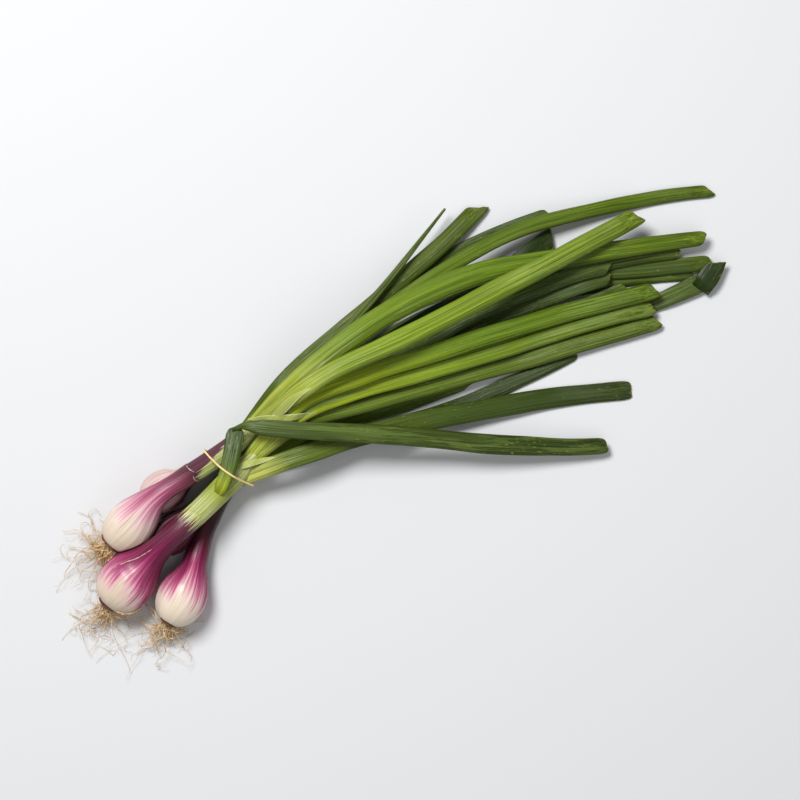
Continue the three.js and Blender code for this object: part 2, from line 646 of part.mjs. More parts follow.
function build() {
  pile();
  const floor = floorBlock();
  const shapes = [];
  // From the top of the bunch down: each piece is dented by those above it, with air between.
  let above = null;
  for (const name of ["b", "a", "d", "c", "e"]) {
    const dented = (shape) => mainBody(above ? shape.subtract(above) : shape);
    const green = dented(greenSolid(name));
    const bulb = dented(bulbSolid(ONIONS[name]).subtract(floor));
    const air = greenSolid(name, CLEARANCE).add(bulbSolid(ONIONS[name], CLEARANCE));
    above = above ? above.add(air) : air;
    shapes.push([`onion_${name}_bulb`, bulb, LOOKS.bulb], [`onion_${name}_leaves`, green, LOOKS.leaves]);
  }
  const band = rubberBand(joined(Object.keys(ONIONS).map((name) => greenSolid(name))));
  shapes.push(["rubber_band", band, LOOKS.band]);
  let inPlace = joined(shapes.map(([, shape]) => shape));
  const draw = drawer(1000);
  for (const [name, onion] of Object.entries(ONIONS)) {
    const roots = rootCluster(onion, draw, inPlace, airRoundOthers(name));
    inPlace = inPlace.add(roots);
    shapes.push([`onion_${name}_roots`, roots, LOOKS.roots]);
  }
  return shapes;
}

const bunch = new THREE.Group();
for (const [name, shape, look] of build()) {
  const mesh = new THREE.Mesh(geometryOf(shape), new THREE.MeshStandardMaterial(look));
  mesh.name = name;
  bunch.add(mesh);
}
const box = new THREE.Box3().setFromObject(bunch);
bunch.position.set(-(box.min.x + box.max.x) / 2, -(box.min.y + box.max.y) / 2, -box.min.z);

export default bunch;
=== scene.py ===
"""A bunch of five red spring onions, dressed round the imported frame. Plan measures are in millimetres, as
in the part's own drawing of the bunch. Every mesh is made in metres."""

from collections import namedtuple
import math
import random

import bmesh
import bpy
import numpy as np
from mathutils import Matrix, Vector


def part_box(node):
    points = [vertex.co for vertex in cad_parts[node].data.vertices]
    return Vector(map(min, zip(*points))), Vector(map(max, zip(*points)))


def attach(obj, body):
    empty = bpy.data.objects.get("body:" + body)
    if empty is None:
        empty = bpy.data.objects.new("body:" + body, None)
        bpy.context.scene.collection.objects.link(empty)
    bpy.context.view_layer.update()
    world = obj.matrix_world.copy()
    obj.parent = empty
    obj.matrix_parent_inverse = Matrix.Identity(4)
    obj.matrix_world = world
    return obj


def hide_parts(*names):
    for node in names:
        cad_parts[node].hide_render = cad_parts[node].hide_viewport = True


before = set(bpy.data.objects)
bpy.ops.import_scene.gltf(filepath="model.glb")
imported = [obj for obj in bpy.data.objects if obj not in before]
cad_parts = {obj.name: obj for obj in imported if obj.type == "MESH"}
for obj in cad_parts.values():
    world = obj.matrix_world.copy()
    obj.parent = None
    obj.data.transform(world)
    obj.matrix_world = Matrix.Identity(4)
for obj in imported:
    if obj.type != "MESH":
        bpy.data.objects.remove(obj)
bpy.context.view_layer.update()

MM = 0.001
LOWEST = 0.05  # how far above the floor a surface's lowest points are kept
CLEARANCE = 0.3  # air between pieces that touch in life

# ---------- the bunch's plan, as in the part's source

# Each onion: stations (x, y, z, radius) from the root end to the fan of leaves, and the station where the
# purple neck turns green. Then its roots: the fan they spread in, their reach, their number, and the share
# that forks.
Onion = namedtuple("Onion", "stations green_from fan reach roots forked")
ONIONS = {
    "a": Onion((
        (-85.3, -8.6, 14.6, 5), (-84.3, -8.2, 14.8, 8), (-82, -7.4, 15.2, 10.7), (-78, -6, 16, 13),
        (-73.5, -4.5, 17.2, 14.1), (-68.5, -2.7, 18.9, 14.3), (-62, -0.3, 22.2, 13),
        (-55.3, 2.2, 26.4, 10.3), (-48.5, 4.2, 29.8, 7.8), (-40.5, 5.4, 31.3, 6.4), (-32, 6, 30.4, 6.2),
        (-23, 6.9, 27, 6.2), (-12, 7.8, 22, 6.3), (0, 9, 18.4, 6.4), (12, 11, 17.2, 6.2),
        (25.5, 14.4, 16.8, 6.4),
    ), 11, (120, 232), (14, 33), 109, 0.55),
    "b": Onion((
        (-104.6, -39.5, 14.8, 4.5), (-103.4, -39, 14.9, 8.4), (-100.8, -37.9, 15.1, 12),
        (-97, -36.3, 15.5, 14.7), (-92.3, -34.4, 15.8, 16.3), (-87.4, -32.5, 16, 16.8),
        (-80.6, -30.1, 17, 16), (-73.2, -27.8, 19.8, 12.5), (-65.7, -25.4, 24, 9), (-56, -22.5, 28.8, 7.4),
        (-44, -19.4, 31.4, 7), (-31, -16.1, 30, 7), (-20, -12.9, 26, 7.1), (-9, -9.4, 21.8, 7.3),
        (3, -5.6, 19.2, 7.5), (16, -1, 18.2, 7.2),
    ), 11, (168, 298), (14, 34), 57, 0.5),
    "c": Onion((
        (-77.3, -65, 13.6, 4.6), (-76.4, -64.5, 13.7, 7.8), (-74.2, -63.2, 13.9, 10.7),
        (-71, -61.3, 14.1, 13), (-66.6, -58.6, 14.3, 14.6), (-61.9, -55.6, 14.3, 15.1),
        (-56.6, -51.4, 14.3, 13.9), (-51.2, -46.6, 13.9, 10.4), (-46.6, -41.9, 13, 8),
        (-40.8, -35.6, 11.4, 7), (-33.6, -28.4, 9.6, 6.3), (-24, -21.2, 8, 5.6), (-12.7, -13.6, 7, 4.9),
        (0, -9.4, 6.8, 4.8), (14, -7.4, 6.6, 5),
    ), 12, (192, 272), (13, 34), 45, 0.5),
    "d": Onion((
        (-56.2, 4.8, 11.6, 4), (-55.2, 4.9, 11.7, 6.8), (-52.8, 5.1, 11.8, 9.6), (-49.4, 5.3, 11.9, 11.6),
        (-45.6, 5.5, 11.9, 12.5), (-41.2, 5.7, 11.9, 12.6), (-36, 5.9, 11.6, 11.3), (-31, 6.1, 10.8, 8.4),
        (-25.8, 6.5, 9.6, 6.2), (-19, 7, 8, 5.2), (-8, 8, 6.8, 4.6), (6, 10.6, 6.4, 4.5),
        (21, 14.2, 6.2, 4.8),
    ), 10, (170, 230), (6, 10), 12, 0.2),
    "e": Onion((
        (-62, -23.6, 11.1, 4), (-61, -23.3, 11.1, 6.6), (-58.7, -22.6, 11.2, 9.2), (-55.4, -21.6, 11.2, 11),
        (-51.8, -20.5, 11.2, 11.8), (-47.8, -19.4, 11.2, 11.9), (-42.8, -17.9, 11, 10.6),
        (-37.4, -16.2, 10.3, 8.3), (-31.4, -14.2, 9.2, 6.4), (-22, -11, 7.8, 5.2), (-8, -5.6, 6.6, 4.6),
        (5, -1.6, 6.3, 4.4), (18, 2.6, 6.1, 4.6),
    ), 10, (185, 240), (6, 10), 12, 0.2),
}

# Each leaf, lowest first: its colouring, its thickness, the share that its tip narrows to, how far it takes
# to leave the stem's height (tuck), its widths at even steps, and its route in plan. cut shapes its end:
# how far the right side runs on past the middle, the depth of a torn bite, and the raggedness of the rim.
# opens is a narrow start's share of the width, and how far it takes to open. pale stands in for the onion's
# own PALE_REACH.
Leaf = namedtuple("Leaf", "name look thick tip tuck cut widths route pale opens on_leaf",
                  defaults=(None, (1, 1), None))
LEAVES = (
    Leaf("e4", "mid", 2.4, 0.6, 60, (0, 0, 1), (6, 8, 8.4, 8.4, 7.8),
         ((10, 1), (88, 12), (175, 10), (247, -8), (301, -28))),
    Leaf("e3", "mid", 2.8, 0.5, 60, (1, 1.2, 0.6), (6, 8, 9, 9.8, 9.4),
         ((10, 1), (89, 21), (162, 23), (228, 8), (279, -14), (314, -28))),
    Leaf("d4", "mid", 2.4, 0.5, 60, (-1, 2.2, 0.9), (6, 7.5, 8, 8, 6.6),
         ((12, 12), (90, 16), (147, 20), (193, 17), (260, 0), (299, -14))),
    Leaf("c4", "mid", 2.2, 0.9, 60, (0, 0, 0.6), (6, 7, 6.4, 6.6, 12),
         ((8, -8), (60, -8), (113, -5), (188, -17), (248, -32), (272, -34), (304, -36))),
    Leaf("c4_fold", "dark", 1.6, 0.9, 5, (3, 0, 0.5), (11.5, 12.5, 10.5),
         ((300, -39), (308, -35), (316.5, -29.5)), on_leaf="c4", pale=(-2, -1)),
    Leaf("c2", "bright", 2.6, 0.5, 50, (-3, 0, 1), (6, 8, 8.4, 8, 4),
         ((8, -8), (69, -10), (113, -17), (150, -25))),
    Leaf("c1", "shade", 2.6, 0.4, 50, (0, 1, 0.8), (6, 8.4, 9.4, 9.4, 7),
         ((8, -8), (67, -17), (126, -31), (175, -36), (216, -38))),
    Leaf("c3", "fresh", 2.8, 0.5, 50, (1, 0, 0.7), (6, 8, 8.4, 8.4, 7.8),
         ((8, -8), (45, -5), (100, -3), (180, -7), (224, -14), (261, -17))),
    Leaf("d3", "dark", 2.6, 0.7, 60, (-2.5, 0, 0.4), (6, 8.4, 9.4, 10.6, 12.2),
         ((12, 12), (92, 20), (142, 23), (185, 23), (236, 31))),
    Leaf("d2", "deep", 2.6, 0.5, 50, (1, 0, 0.5), (6, 8, 8.4, 8.4, 7.6),
         ((12, 12), (83, 28), (134, 41.5), (165, 49), (200, 49), (241, 44.5))),
    Leaf("d1", "olive", 3, 0.7, 40, (4.2, 2.2, 0.8), (6.5, 9, 10.2, 10.4, 11),
         ((12, 13), (54, 31), (96, 40), (148, 52), (178, 59), (206, 67))),
    Leaf("e2", "deep", 2.8, 0.5, 60, (-1, 0, 0.8), (6, 8, 8.4, 8.4, 7.8),
         ((10, 0), (77, 4), (145, 5), (211, -1), (255, -7))),
    Leaf("e1", "deep", 3, 0.5, 60, (-2, 1, 0.5), (6, 8.4, 9.4, 9.8, 9),
         ((10, 1), (73, 9), (120, 10), (170, 11), (230, 5), (258, -1))),
    Leaf("b4", "sheathed", 2.8, 0.7, 50, (0, 0.8, 0.3), (11, 12, 12.6, 12.6, 11.4),
         ((0, -9), (20, -11.5), (46, -15.5), (95, -25), (142, -39), (198, -58), (235, -73)), pale=(17, 34)),
    Leaf("b3", "dull", 4, 0.5, 50, (1.5, 1.2, 0.4), (9, 8.4, 10, 11.2, 10.2),
         ((8, -4), (50, 2.5), (90, -6.5), (140, -17), (183, -26), (220, -34), (269, -44.5))),
    Leaf("b2", "bloomy", 4.4, 0.5, 50, (1, 1.4, 0.5), (9, 9.4, 11, 11.2, 10.4),
         ((8, -3), (52, 7), (83, 4), (144, -8), (229, -25), (270, -35))),
    Leaf("b1", "vivid", 4.4, 0.6, 50, (2, 1, 0.6), (9, 10.4, 11, 11.4, 10.6),
         ((8, -3), (54, 13), (98, 10), (141, 2), (220, -13), (276, -27))),
    Leaf("a4", "olive", 2.4, 0.1, 50, (0, 0, 0), (6, 6.4, 5.6, 3.8, 1.6),
         ((18, 13), (62, 27), (99, 39), (146, 58), (187, 76))),
    Leaf("a3", "fresh", 3.6, 0.5, 50, (2.2, 0, 0.3), (7, 8.4, 8.8, 9, 8),
         ((18, 13), (85, 32), (133, 40), (173, 43.5), (212, 44), (247, 38.5), (301, 23), (334, 10))),
    Leaf("a2", "bright", 5, 0.5, 50, (-1, 0, 0.4), (9.6, 12.4, 14.2, 13.6, 12, 8.8),
         ((16, 12), (56, 25), (96, 33), (131, 36), (183, 32), (236, 16), (317, -13))),
    Leaf("a1", "pale", 4.6, 0.8, 50, (2.6, 2.6, 0.8), (9.6, 11, 12.4, 13, 12.4, 11.4),
         ((16, 12), (58, 19), (88, 21), (143, 18), (220, 17.5), (287, 17.5))),
    Leaf("b5_rise", "rise", 2, 0.3, 11, (0, 0, 0), (7, 8.8, 10, 11, 11.4),
         ((-19, -13.5), (-11.5, -10), (-3.5, -3.5), (3, 3.5), (9, 11), (14.6, 18.5)), pale=(10, 22)),
    Leaf("b5_fold", "grey", 1.8, 0.6, 12, (0.8, 0, 0.5), (9, 11, 11.6, 11.8, 9.8),
         ((11.8, 18.4), (19, 17.2), (27, 12), (46, 0), (88, -25), (138, -58), (179, -82), (206, -96)),
         on_leaf="b5_rise", opens=(0.25, 20), pale=(-2, -1)),
)

# The torn sheaths that the leaves come out of: the route of each one's free rim in plan, and the way back
# from it to the stem that it grows from.
SHEATHS = [
    dict(name="b_outer", rim=((-3, -2.6), (4, -4.6), (12, -6.4), (20, -7.9), (27, -8.5)), back=(-2.5, 5)),
    dict(name="a_outer", rim=((23, 20), (32, 17.2), (41, 12.9), (52, 8.1), (62, 4)), back=(-3, -3.6)),
    dict(name="a_inner", rim=((30, 9.6), (44.6, 12.3), (56, 15.8), (66, 17.8)), back=(-4, 4.6)),
]

# How the part lays its leaves, done again here so that they lie as its own do.
LAYER_GAP = 0.6  # air between a leaf and what it lies on
CELL = 1
GRID = dict(x=-130, y=-120, columns=500, rows=240)
LAY_STEP = 2  # spacing of the points at which a leaf feels what is under it
WIDTH_POINTS = 9  # and of such points across it
LEAF_SLOPE = 0.16  # steepest that a leaf climbs or sinks
SOFTEN = 7  # points over which its height is evened out
FOLD_STEP = 1  # how far above the end of its lower part a folded leaf goes on
TIP_LENGTH = 0.6  # length of a leaf's rounded tip, in shares of its last width
STEM_ROWS = 12  # places along a green stem at which it is marked on the ground
AXIS_REACH = 0.7  # stations either side over which an onion's direction is taken

# ---------- curves

def along(rows, t):
    """Catmull-Rom value of rows of numbers at t, counted in rows."""
    rows = np.asarray(rows, float)
    i = min(int(math.floor(t)), len(rows) - 2)
    f = t - i
    p, a, b, q = (rows[min(max(k, 0), len(rows) - 1)] for k in (i - 1, i, i + 1, i + 2))
    square, cube = 2 * p - 5 * a + 4 * b - q, 3 * a - p - 3 * b + q
    return 0.5 * (2 * a + (b - p) * f + square * f * f + cube * f ** 3)


def reach_of(points):
    """Distance of each of a row of points along the line through them."""
    return np.concatenate(([0], np.cumsum(np.linalg.norm(np.diff(points, axis=0), axis=1))))


def even_route(route, step):
    """Points at even steps along a plan route, with the distance of each."""
    per_leg = 40
    fine = np.array([along(route, i / per_leg) for i in range(per_leg * (len(route) - 1) + 1)])
    reach = reach_of(fine)
    s = np.linspace(0, reach[-1], max(2, round(reach[-1] / step) + 1))
    return s, np.stack([np.interp(s, reach, fine[:, k]) for k in (0, 1)], axis=1)


def smoothstep(x, low, high):
    t = np.clip((np.asarray(x, float) - low) / (high - low), 0, 1)
    return t * t * (3 - 2 * t)


def unit(vectors):
    return vectors / np.linalg.norm(vectors, axis=-1, keepdims=True)


def sideways(forward):
    """Directions across and up for each forward direction, with across level and to the right."""
    across = unit(np.cross(forward, (0, 0, 1)))
    return across, np.cross(across, forward)


def turns(count):
    return 2 * math.pi * np.arange(count) / count


def spokes(across, up, turn):
    """Directions from each centre to its ring, at the turns given."""
    return across[:, None] * np.cos(turn)[None, :, None] + up[:, None] * np.sin(turn)[None, :, None]


def rings(centres, across, up, wide, high):
    """Rings of points round centres: wide and high give their reach by centre and by place in the ring."""
    return centres[:, None] + across[:, None] * wide[..., None] + up[:, None] * high[..., None]


def drawn_out(points, forward, share, profile):
    """Rings whose last ones run on along the piece, by share and by a profile round its end."""
    return points + forward[-1] * (share[:, None] * profile)[..., None]


def vectors(*parts):
    """Three arrays, spread to one shape, as one array of vectors."""
    return np.stack(np.broadcast_arrays(*parts), axis=-1)


ANY_TURN = 6.3  # a whole turn, from which the start of a wave is drawn


def wobble(s, seed, size, period):
    """A slow repeatable waver of s, about size each way."""
    draw = random.Random(seed)
    total = np.zeros_like(np.asarray(s, float))
    for octave in (1, 2.3):
        total += np.sin(2 * math.pi * octave * s / period + draw.uniform(0, ANY_TURN)) / octave
    return size * total / 1.4


def ripple(draw, turn, waves):
    """The sum of waves (number, height) round a piece, each of which starts anywhere."""
    return sum(size * np.cos(count * turn + draw.uniform(0, ANY_TURN)) for count, size in waves)


# ---------- the pile: leaf heights, as in the part

tops = np.zeros((GRID["rows"], GRID["columns"]))
under_fold = tops.copy()


def cell_of(x, y):
    return int(math.floor((y - GRID["y"]) / CELL + 0.5)), int(math.floor((x - GRID["x"]) / CELL + 0.5))


def ground_under(x, y, heights=tops):
    row, column = cell_of(x, y)
    return heights[row - 1:row + 2, column - 1:column + 2].max()


def cover_ground(rings):
    """Marks the tops of rings of (centre, half width, half height) on the ground."""
    for (a, aw, ah), (b, bw, bh) in zip(rings, rings[1:]):
        run = np.array((b[0] - a[0], b[1] - a[1]))
        length = np.linalg.norm(run)
        side = np.array((run[1], -run[0])) / length
        steps = math.ceil(length / (CELL / 2)) + 1
        for step in range(steps):
            f = step / (steps - 1)
            centre, wide, high = a + (b - a) * f, aw + (bw - aw) * f, ah + (bh - ah) * f
            for o in np.arange(-wide, wide + 1e-9, CELL / 2):
                row, column = cell_of(centre[0] + side[0] * o, centre[1] + side[1] * o)
                height = centre[2] + high * math.sqrt(max(0, 1 - (o / wide) ** 2))
                tops[row, column] = max(tops[row, column], height)


def leaf_width(leaf, s, length):
    widths = leaf.widths
    start, after = leaf.opens
    opened = start + (1 - start) * float(smoothstep(s, 0, after))
    width = opened * along([(w,) for w in widths], s / length * (len(widths) - 1))[0]
    left = (length - s) / (TIP_LENGTH * widths[-1])
    if left >= 1:
        return width
    return width * (leaf.tip + (1 - leaf.tip) * math.sqrt(max(0, 1 - (1 - left) ** 2)))


def evened(heights):
    """Each height becomes the mean of the highest ones near it."""
    reach = (SOFTEN + 1) // 2
    last = len(heights) - 1

    def near(row, i, side):
        return [row[min(max(k, 0), last)] for k in range(i - side, i + side + 1)]

    high = [max(near(heights, i, reach)) for i in range(len(heights))]
    return np.array([np.mean(near(high, i, reach - 1)) for i in range(len(high))])


def resting_heights(leaf, s, plan):
    needed = []
    for i, (x, y) in enumerate(plan):
        run = plan[min(i + 1, len(plan) - 1)] - plan[max(i - 1, 0)]
        side = np.array((run[1], -run[0])) / np.linalg.norm(run)
        half = leaf_width(leaf, s[i], s[-1]) / 2
        highest = 0
        for o in np.linspace(-1, 1, WIDTH_POINTS):
            ground = ground_under(x + side[0] * o * half, y + side[1] * o * half)
            gap = LAYER_GAP if ground > 0 else 0
            highest = max(highest, ground + gap + leaf.thick / 2 * math.sqrt(max(0, 1 - o * o)))
        needed.append(highest)
    needed = np.array(needed)
    stiff = (needed[None, :] - LEAF_SLOPE * np.abs(s[:, None] - s[None, :])).max(axis=1)
    return evened(evened(stiff))


def stem_height(name, x):
    rows = ONIONS[name].stations
    k = next(i for i, row in enumerate(rows) if row[0] > x)
    a, b = rows[k - 1], rows[k]
    return a[2] + (b[2] - a[2]) * (x - a[0]) / (b[0] - a[0])


laid = {}


def lay_leaf(leaf):
    s, plan = even_route(leaf.route, LAY_STEP)
    free = resting_heights(leaf, s, plan)
    if leaf.on_leaf:
        start = laid[leaf.on_leaf][1][-1, 2] + FOLD_STEP
    else:
        start = stem_height(leaf.name[0], leaf.route[0][0])
    z = start + (free - start) * smoothstep(s, 0, leaf.tuck)
    points = np.column_stack((plan, z))
    laid[leaf.name] = (s, points)
    cover_ground([(p, leaf_width(leaf, d, s[-1]) / 2, leaf.thick / 2) for d, p in zip(s, points)])


def lay_pile():
    """Lays the leaves of the three lower onions, then all the stems, then the leaves of the upper two. The
    heights as they are before the folded leaf goes on top are kept for the sheaths."""
    for leaf in LEAVES:
        if leaf.name[0] in "cde":
            lay_leaf(leaf)
    for onion in ONIONS.values():
        last = len(onion.stations) - 1
        rows = [along(onion.stations, t) for t in np.linspace(onion.green_from, last, STEM_ROWS)]
        cover_ground([(row[:3], row[3], row[3]) for row in rows])
    for leaf in LEAVES:
        if leaf.name == "b5_rise":
            under_fold[:] = tops
        if leaf.name[0] in "ab":
            lay_leaf(leaf)


# ---------- an onion's own axis

def shaft(onion, ts):
    """Rows (x, y, z, radius) at stations ts, with the directions forward, across and up."""
    stations = onion.stations
    last = len(stations) - 1
    rows = np.array([along(stations, t) for t in ts])
    ahead, behind = (np.array([along(stations, min(max(t + step, 0), last))[:3] for t in ts])
                     for step in (AXIS_REACH, -AXIS_REACH))
    forward = unit(ahead - behind)
    return rows, forward, *sideways(forward)


def shaft_reach(onion, ts):
    """Distance of stations ts from the root end, along the axis."""
    fine = np.linspace(0, len(onion.stations) - 1, 300)
    return np.interp(ts, fine, reach_of(np.array([along(onion.stations, t)[:3] for t in fine])))


PRESS_ORDER = "badce"  # from the top of the bunch down
PRESS_ROWS = 160


def pressed(points, name):
    """Points of an onion pushed out of those that lie over it, which dent it as in the part."""
    for other in PRESS_ORDER[:PRESS_ORDER.index(name)]:
        stations = ONIONS[other].stations
        rows = np.array([along(stations, t) for t in np.linspace(0, len(stations) - 1, PRESS_ROWS)])
        away = points[..., None, :] - rows[:, :3]
        gap = np.linalg.norm(away, axis=-1) - rows[:, 3] - CLEARANCE
        nearest = gap.argmin(axis=-1)[..., None]
        depth = -np.take_along_axis(gap, nearest, -1)
        push = np.take_along_axis(unit(away), nearest[..., None], -2)[..., 0, :]
        points = points + push * np.maximum(depth, 0)
    return points


CAD_BULB_SIDES = 14
CAD_BULB_RINGS = 21
CAD_COLOUR_GAP = 0.03  # how far short of the green stem the part's bulb ends, in stations


def plan_shift():
    """What the part added to its plan to put its origin under the bunch's middle, read from one bulb."""
    onion = ONIONS["c"]
    end = onion.green_from - CAD_COLOUR_GAP
    rows, _, across, up = shaft(onion, np.linspace(0, end, CAD_BULB_RINGS))
    ring = spokes(across, up, turns(CAD_BULB_SIDES) + math.pi / CAD_BULB_SIDES)
    corners = (rows[:, None, :3] + ring * rows[:, 3][:, None, None]).reshape(-1, 3)
    low = np.array(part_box("onion_c_bulb")[0]) / MM
    return np.array((low[0] - corners[:, 0].min(), low[1] - corners[:, 1].min(), 0))


SHIFT = plan_shift()

# ---------- meshes

def add_object(name, data):
    """A new object of the scene."""
    holder = bpy.data.objects.new(name, data)
    bpy.context.scene.collection.objects.link(holder)
    return holder


def tube_faces(start, count, sides, closed=False):
    """The faces between rings of vertices, the first of which begins at start."""
    faces = []
    for i in range(count if closed else count - 1):
        a, b = start + i * sides, start + (i + 1) % count * sides
        faces += [(a + k, a + (k + 1) % sides, b + (k + 1) % sides, b + k) for k in range(sides)]
    return faces


def surface(name, points, fields, material, node, closed=False):
    """A tube through rings of points (rings, sides, 3), its ends capped, or joined if it is closed. Its
    fields of numbers may be given by ring or by side only."""
    count, sides, _ = points.shape
    fields = {key: values if values.ndim == 3 else np.broadcast_to(values, (count, sides))
              for key, values in fields.items()}
    vertices = [tuple(v) for v in points.reshape(-1, 3)]
    faces = tube_faces(0, count, sides, closed)
    for ring in () if closed else (0, count - 1):
        vertices.append(tuple(points[ring].mean(axis=0)))
        hub = len(vertices) - 1
        faces += [(ring * sides + k, ring * sides + (k + 1) % sides, hub) for k in range(sides)]
    finish_mesh(name, vertices, faces, fields, material, node)


def finish_mesh(name, vertices, faces, fields, material, node):
    """A smooth piece in place of a node, with each field as an attribute for the material to read. The hubs
    of its end caps take the mean of the ring that they close."""
    mesh = bpy.data.meshes.new(name)
    places = np.array(vertices)
    places[:, 2] = np.maximum(places[:, 2], LOWEST)
    mesh.from_pydata([tuple(v) for v in (places + SHIFT) * MM], [], faces)
    for key, values in fields.items():
        kind, put = ("FLOAT_VECTOR", "vector") if values.ndim == 3 else ("FLOAT", "value")
        flat = values.reshape(-1, 3) if values.ndim == 3 else values.reshape(-1)
        if len(vertices) > len(flat):
            flat = np.concatenate((flat, [values[0].mean(axis=0), values[-1].mean(axis=0)]))
        mesh.attributes.new(key, kind, "POINT").data.foreach_set(put, flat.ravel())
    work = bmesh.new()
    work.from_mesh(mesh)
    bmesh.ops.recalc_face_normals(work, faces=work.faces)
    for face in work.faces:
        face.smooth = True
    work.to_mesh(mesh)
    work.free()
    mesh.materials.append(material)
    piece = add_object(name, mesh)
    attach(piece, "root")
    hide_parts(node)


# ---------- node materials

def linear(rgb):
    """Linear colour from 0-255 screen values."""
    shares = (c / 255 for c in rgb)
    return tuple(c / 12.92 if c <= 0.04045 else ((c + 0.055) / 1.055) ** 2.4 for c in shares) + (1,)


class Nodes:
    """A material's node tree, with short calls for the nodes used here. Colours are given in screen values.
    grain is the piece's own field of places, and its third direction runs along the piece."""

    def __init__(self, name):
        self.material = bpy.data.materials.new(name)
        self.material.use_nodes = True
        self.tree = self.material.node_tree
        self.shader = self.tree.nodes["Principled BSDF"]
        self.grain = self.field("grain", "Vector")
        self.colour = None

    def link(self, value, socket):
        """Gives a socket its value: another node's output, a colour, or numbers."""
        if isinstance(value, bpy.types.NodeSocket):
            self.tree.links.new(value, socket)
        else:
            socket.default_value = linear(value) if isinstance(value, tuple) else value

    def node(self, kind, inputs, output=0, **settings):
        """Makes a node with its settings and inputs, and gives one of its outputs."""
        node = self.tree.nodes.new("ShaderNode" + kind)
        for key, value in settings.items():
            setattr(node, key, value)
        for key, value in inputs.items():
            self.link(value, node.inputs[key])
        return node.outputs[output]

    def field(self, name, output="Fac"):
        return self.node("Attribute", {}, output, attribute_name=name)

    def math(self, operation, a, b=0.0, clamp=False):
        return self.node("Math", {0: a, 1: b}, operation=operation, use_clamp=clamp)

    def plus(self, a, b):
        return self.math("ADD", a, b)

    def times(self, a, b):
        return self.math("MULTIPLY", a, b)

    def about(self, value, size, middle=0.5):
        """How far a value is from its middle, times size."""
        return self.times(self.math("SUBTRACT", value, middle), size)

    def noise(self, across, lengthwise, detail=3.0, rough=0.55):
        """Noise of the grain, scaled across the piece and along it."""
        scales = [across, across, lengthwise]
        places = self.node("VectorMath", {0: self.grain, 1: scales}, operation="MULTIPLY")
        inputs = {"Vector": places, "Scale": 1, "Detail": detail, "Roughness": rough}
        return self.node("TexNoise", inputs, "Fac")

    def grade(self, value, low, high, out_low=0.0, out_high=1.0):
        """A smooth step from out_low at low to out_high at high."""
        limits = {"From Min": low, "From Max": high, "To Min": out_low, "To Max": out_high}
        return self.node("MapRange", {"Value": value, **limits}, interpolation_type="SMOOTHSTEP")

    def mix(self, share, a, b, blend="MIX"):
        return self.node("Mix", {"Factor": share, 6: a, 7: b}, 2, data_type="RGBA", blend_type=blend)

    def ramp(self, value, stops):
        """Paints by a value's place among stops (place, colour)."""
        self.colour = self.node("ValToRGB", {0: value})
        elements = self.colour.node.color_ramp.elements
        while len(elements) < len(stops):
            elements.new(0.5)
        for element, (place, colour) in zip(elements, stops):
            element.position = place
            element.color = linear(colour)

    def paint(self, share, colour, blend="MIX"):
        """Lays a share of a colour over the ones before."""
        self.colour = self.mix(share, self.colour, colour, blend)

    def wash(self, value, low, high, most, colour):
        """Paints more and more, up to most, as a value goes from low to high."""
        self.paint(self.grade(value, low, high, 0, most), colour)

    def bump(self, height, distance, strength=0.6):
        relief = self.node("Bump", {"Height": height, "Distance": distance, "Strength": strength})
        self.link(relief, self.shader.inputs["Normal"])

    def finish(self, roughness, **plain):
        """The material, with any further inputs of its shader that are the same all over."""
        self.link(self.colour, self.shader.inputs["Base Color"])
        self.link(roughness, self.shader.inputs["Roughness"])
        for key, value in plain.items():
            self.shader.inputs[key.replace("_", " ")].default_value = value
        return self.material


# The share of each colour of light that skins and leaves give back, of 255.
SKIN_DEPTH = (244, 240, 240)
LEAF_DEPTH = (230, 231, 150)

MAROON = (78, 32, 38)
NECK_GREEN = (162, 168, 86)
BRIGHT_GREEN = (150, 160, 62)
LUSH_GREEN = (140, 154, 34)
LEAF_BASE = (188, 196, 120)
STRIPE = (214, 216, 172)
LEAF_STRIPE = (228, 230, 204)

# Each onion's skin: its colours by distance from the root end; how much sooner they come on the right and
# left sides than in the middle (sides) and on the underside than on top (under); how far its streaks reach;
# and how far fingers of green reach down into it (greens), on b alone.
Skin = namedtuple("Skin", "stops sides under streak greens", defaults=(0,))
SKINS = {
    "a": Skin(((0, (226, 211, 186)), (14, (234, 221, 198)), (22, (240, 224, 212)), (29, (234, 184, 196)),
              (37, (204, 126, 156)), (45, (156, 72, 106)), (55, (126, 58, 82)), (63, (86, 44, 56)),
              (74, (82, 42, 54))), (-5, 3), 4, 13),
    "b": Skin(((0, (218, 203, 178)), (9, (228, 213, 192)), (14, (228, 186, 190)), (20, (208, 124, 158)),
              (27, (170, 66, 116)), (36, (142, 36, 86)), (46, (116, 26, 70)), (60, (98, 34, 60)),
              (78, (90, 36, 56)), (86, (88, 36, 54))), (12, 9), 6, 17, 8),
    "c": Skin(((0, (232, 220, 194)), (13, (240, 230, 210)), (17, (238, 214, 206)), (22, (220, 150, 174)),
              (28, (186, 82, 128)), (34, (140, 36, 86)), (46, (98, 18, 50)), (60, (56, 17, 29)),
              (100, (50, 20, 28))), (6, 8), 3, 13),
    "d": Skin(((0, (212, 186, 180)), (10, (230, 208, 200)), (18, (214, 178, 180)), (24, (170, 110, 128)),
              (32, (112, 46, 70)), (43, (66, 24, 40)), (60, (52, 16, 30)), (90, (52, 20, 30))), (18, -14),
              8, 11),
    "e": Skin(((0, (92, 44, 58)), (12, (84, 34, 50)), (26, (72, 22, 38)), (42, (48, 15, 26)),
              (80, (46, 17, 26))), (0, 0), 0, 8),
}


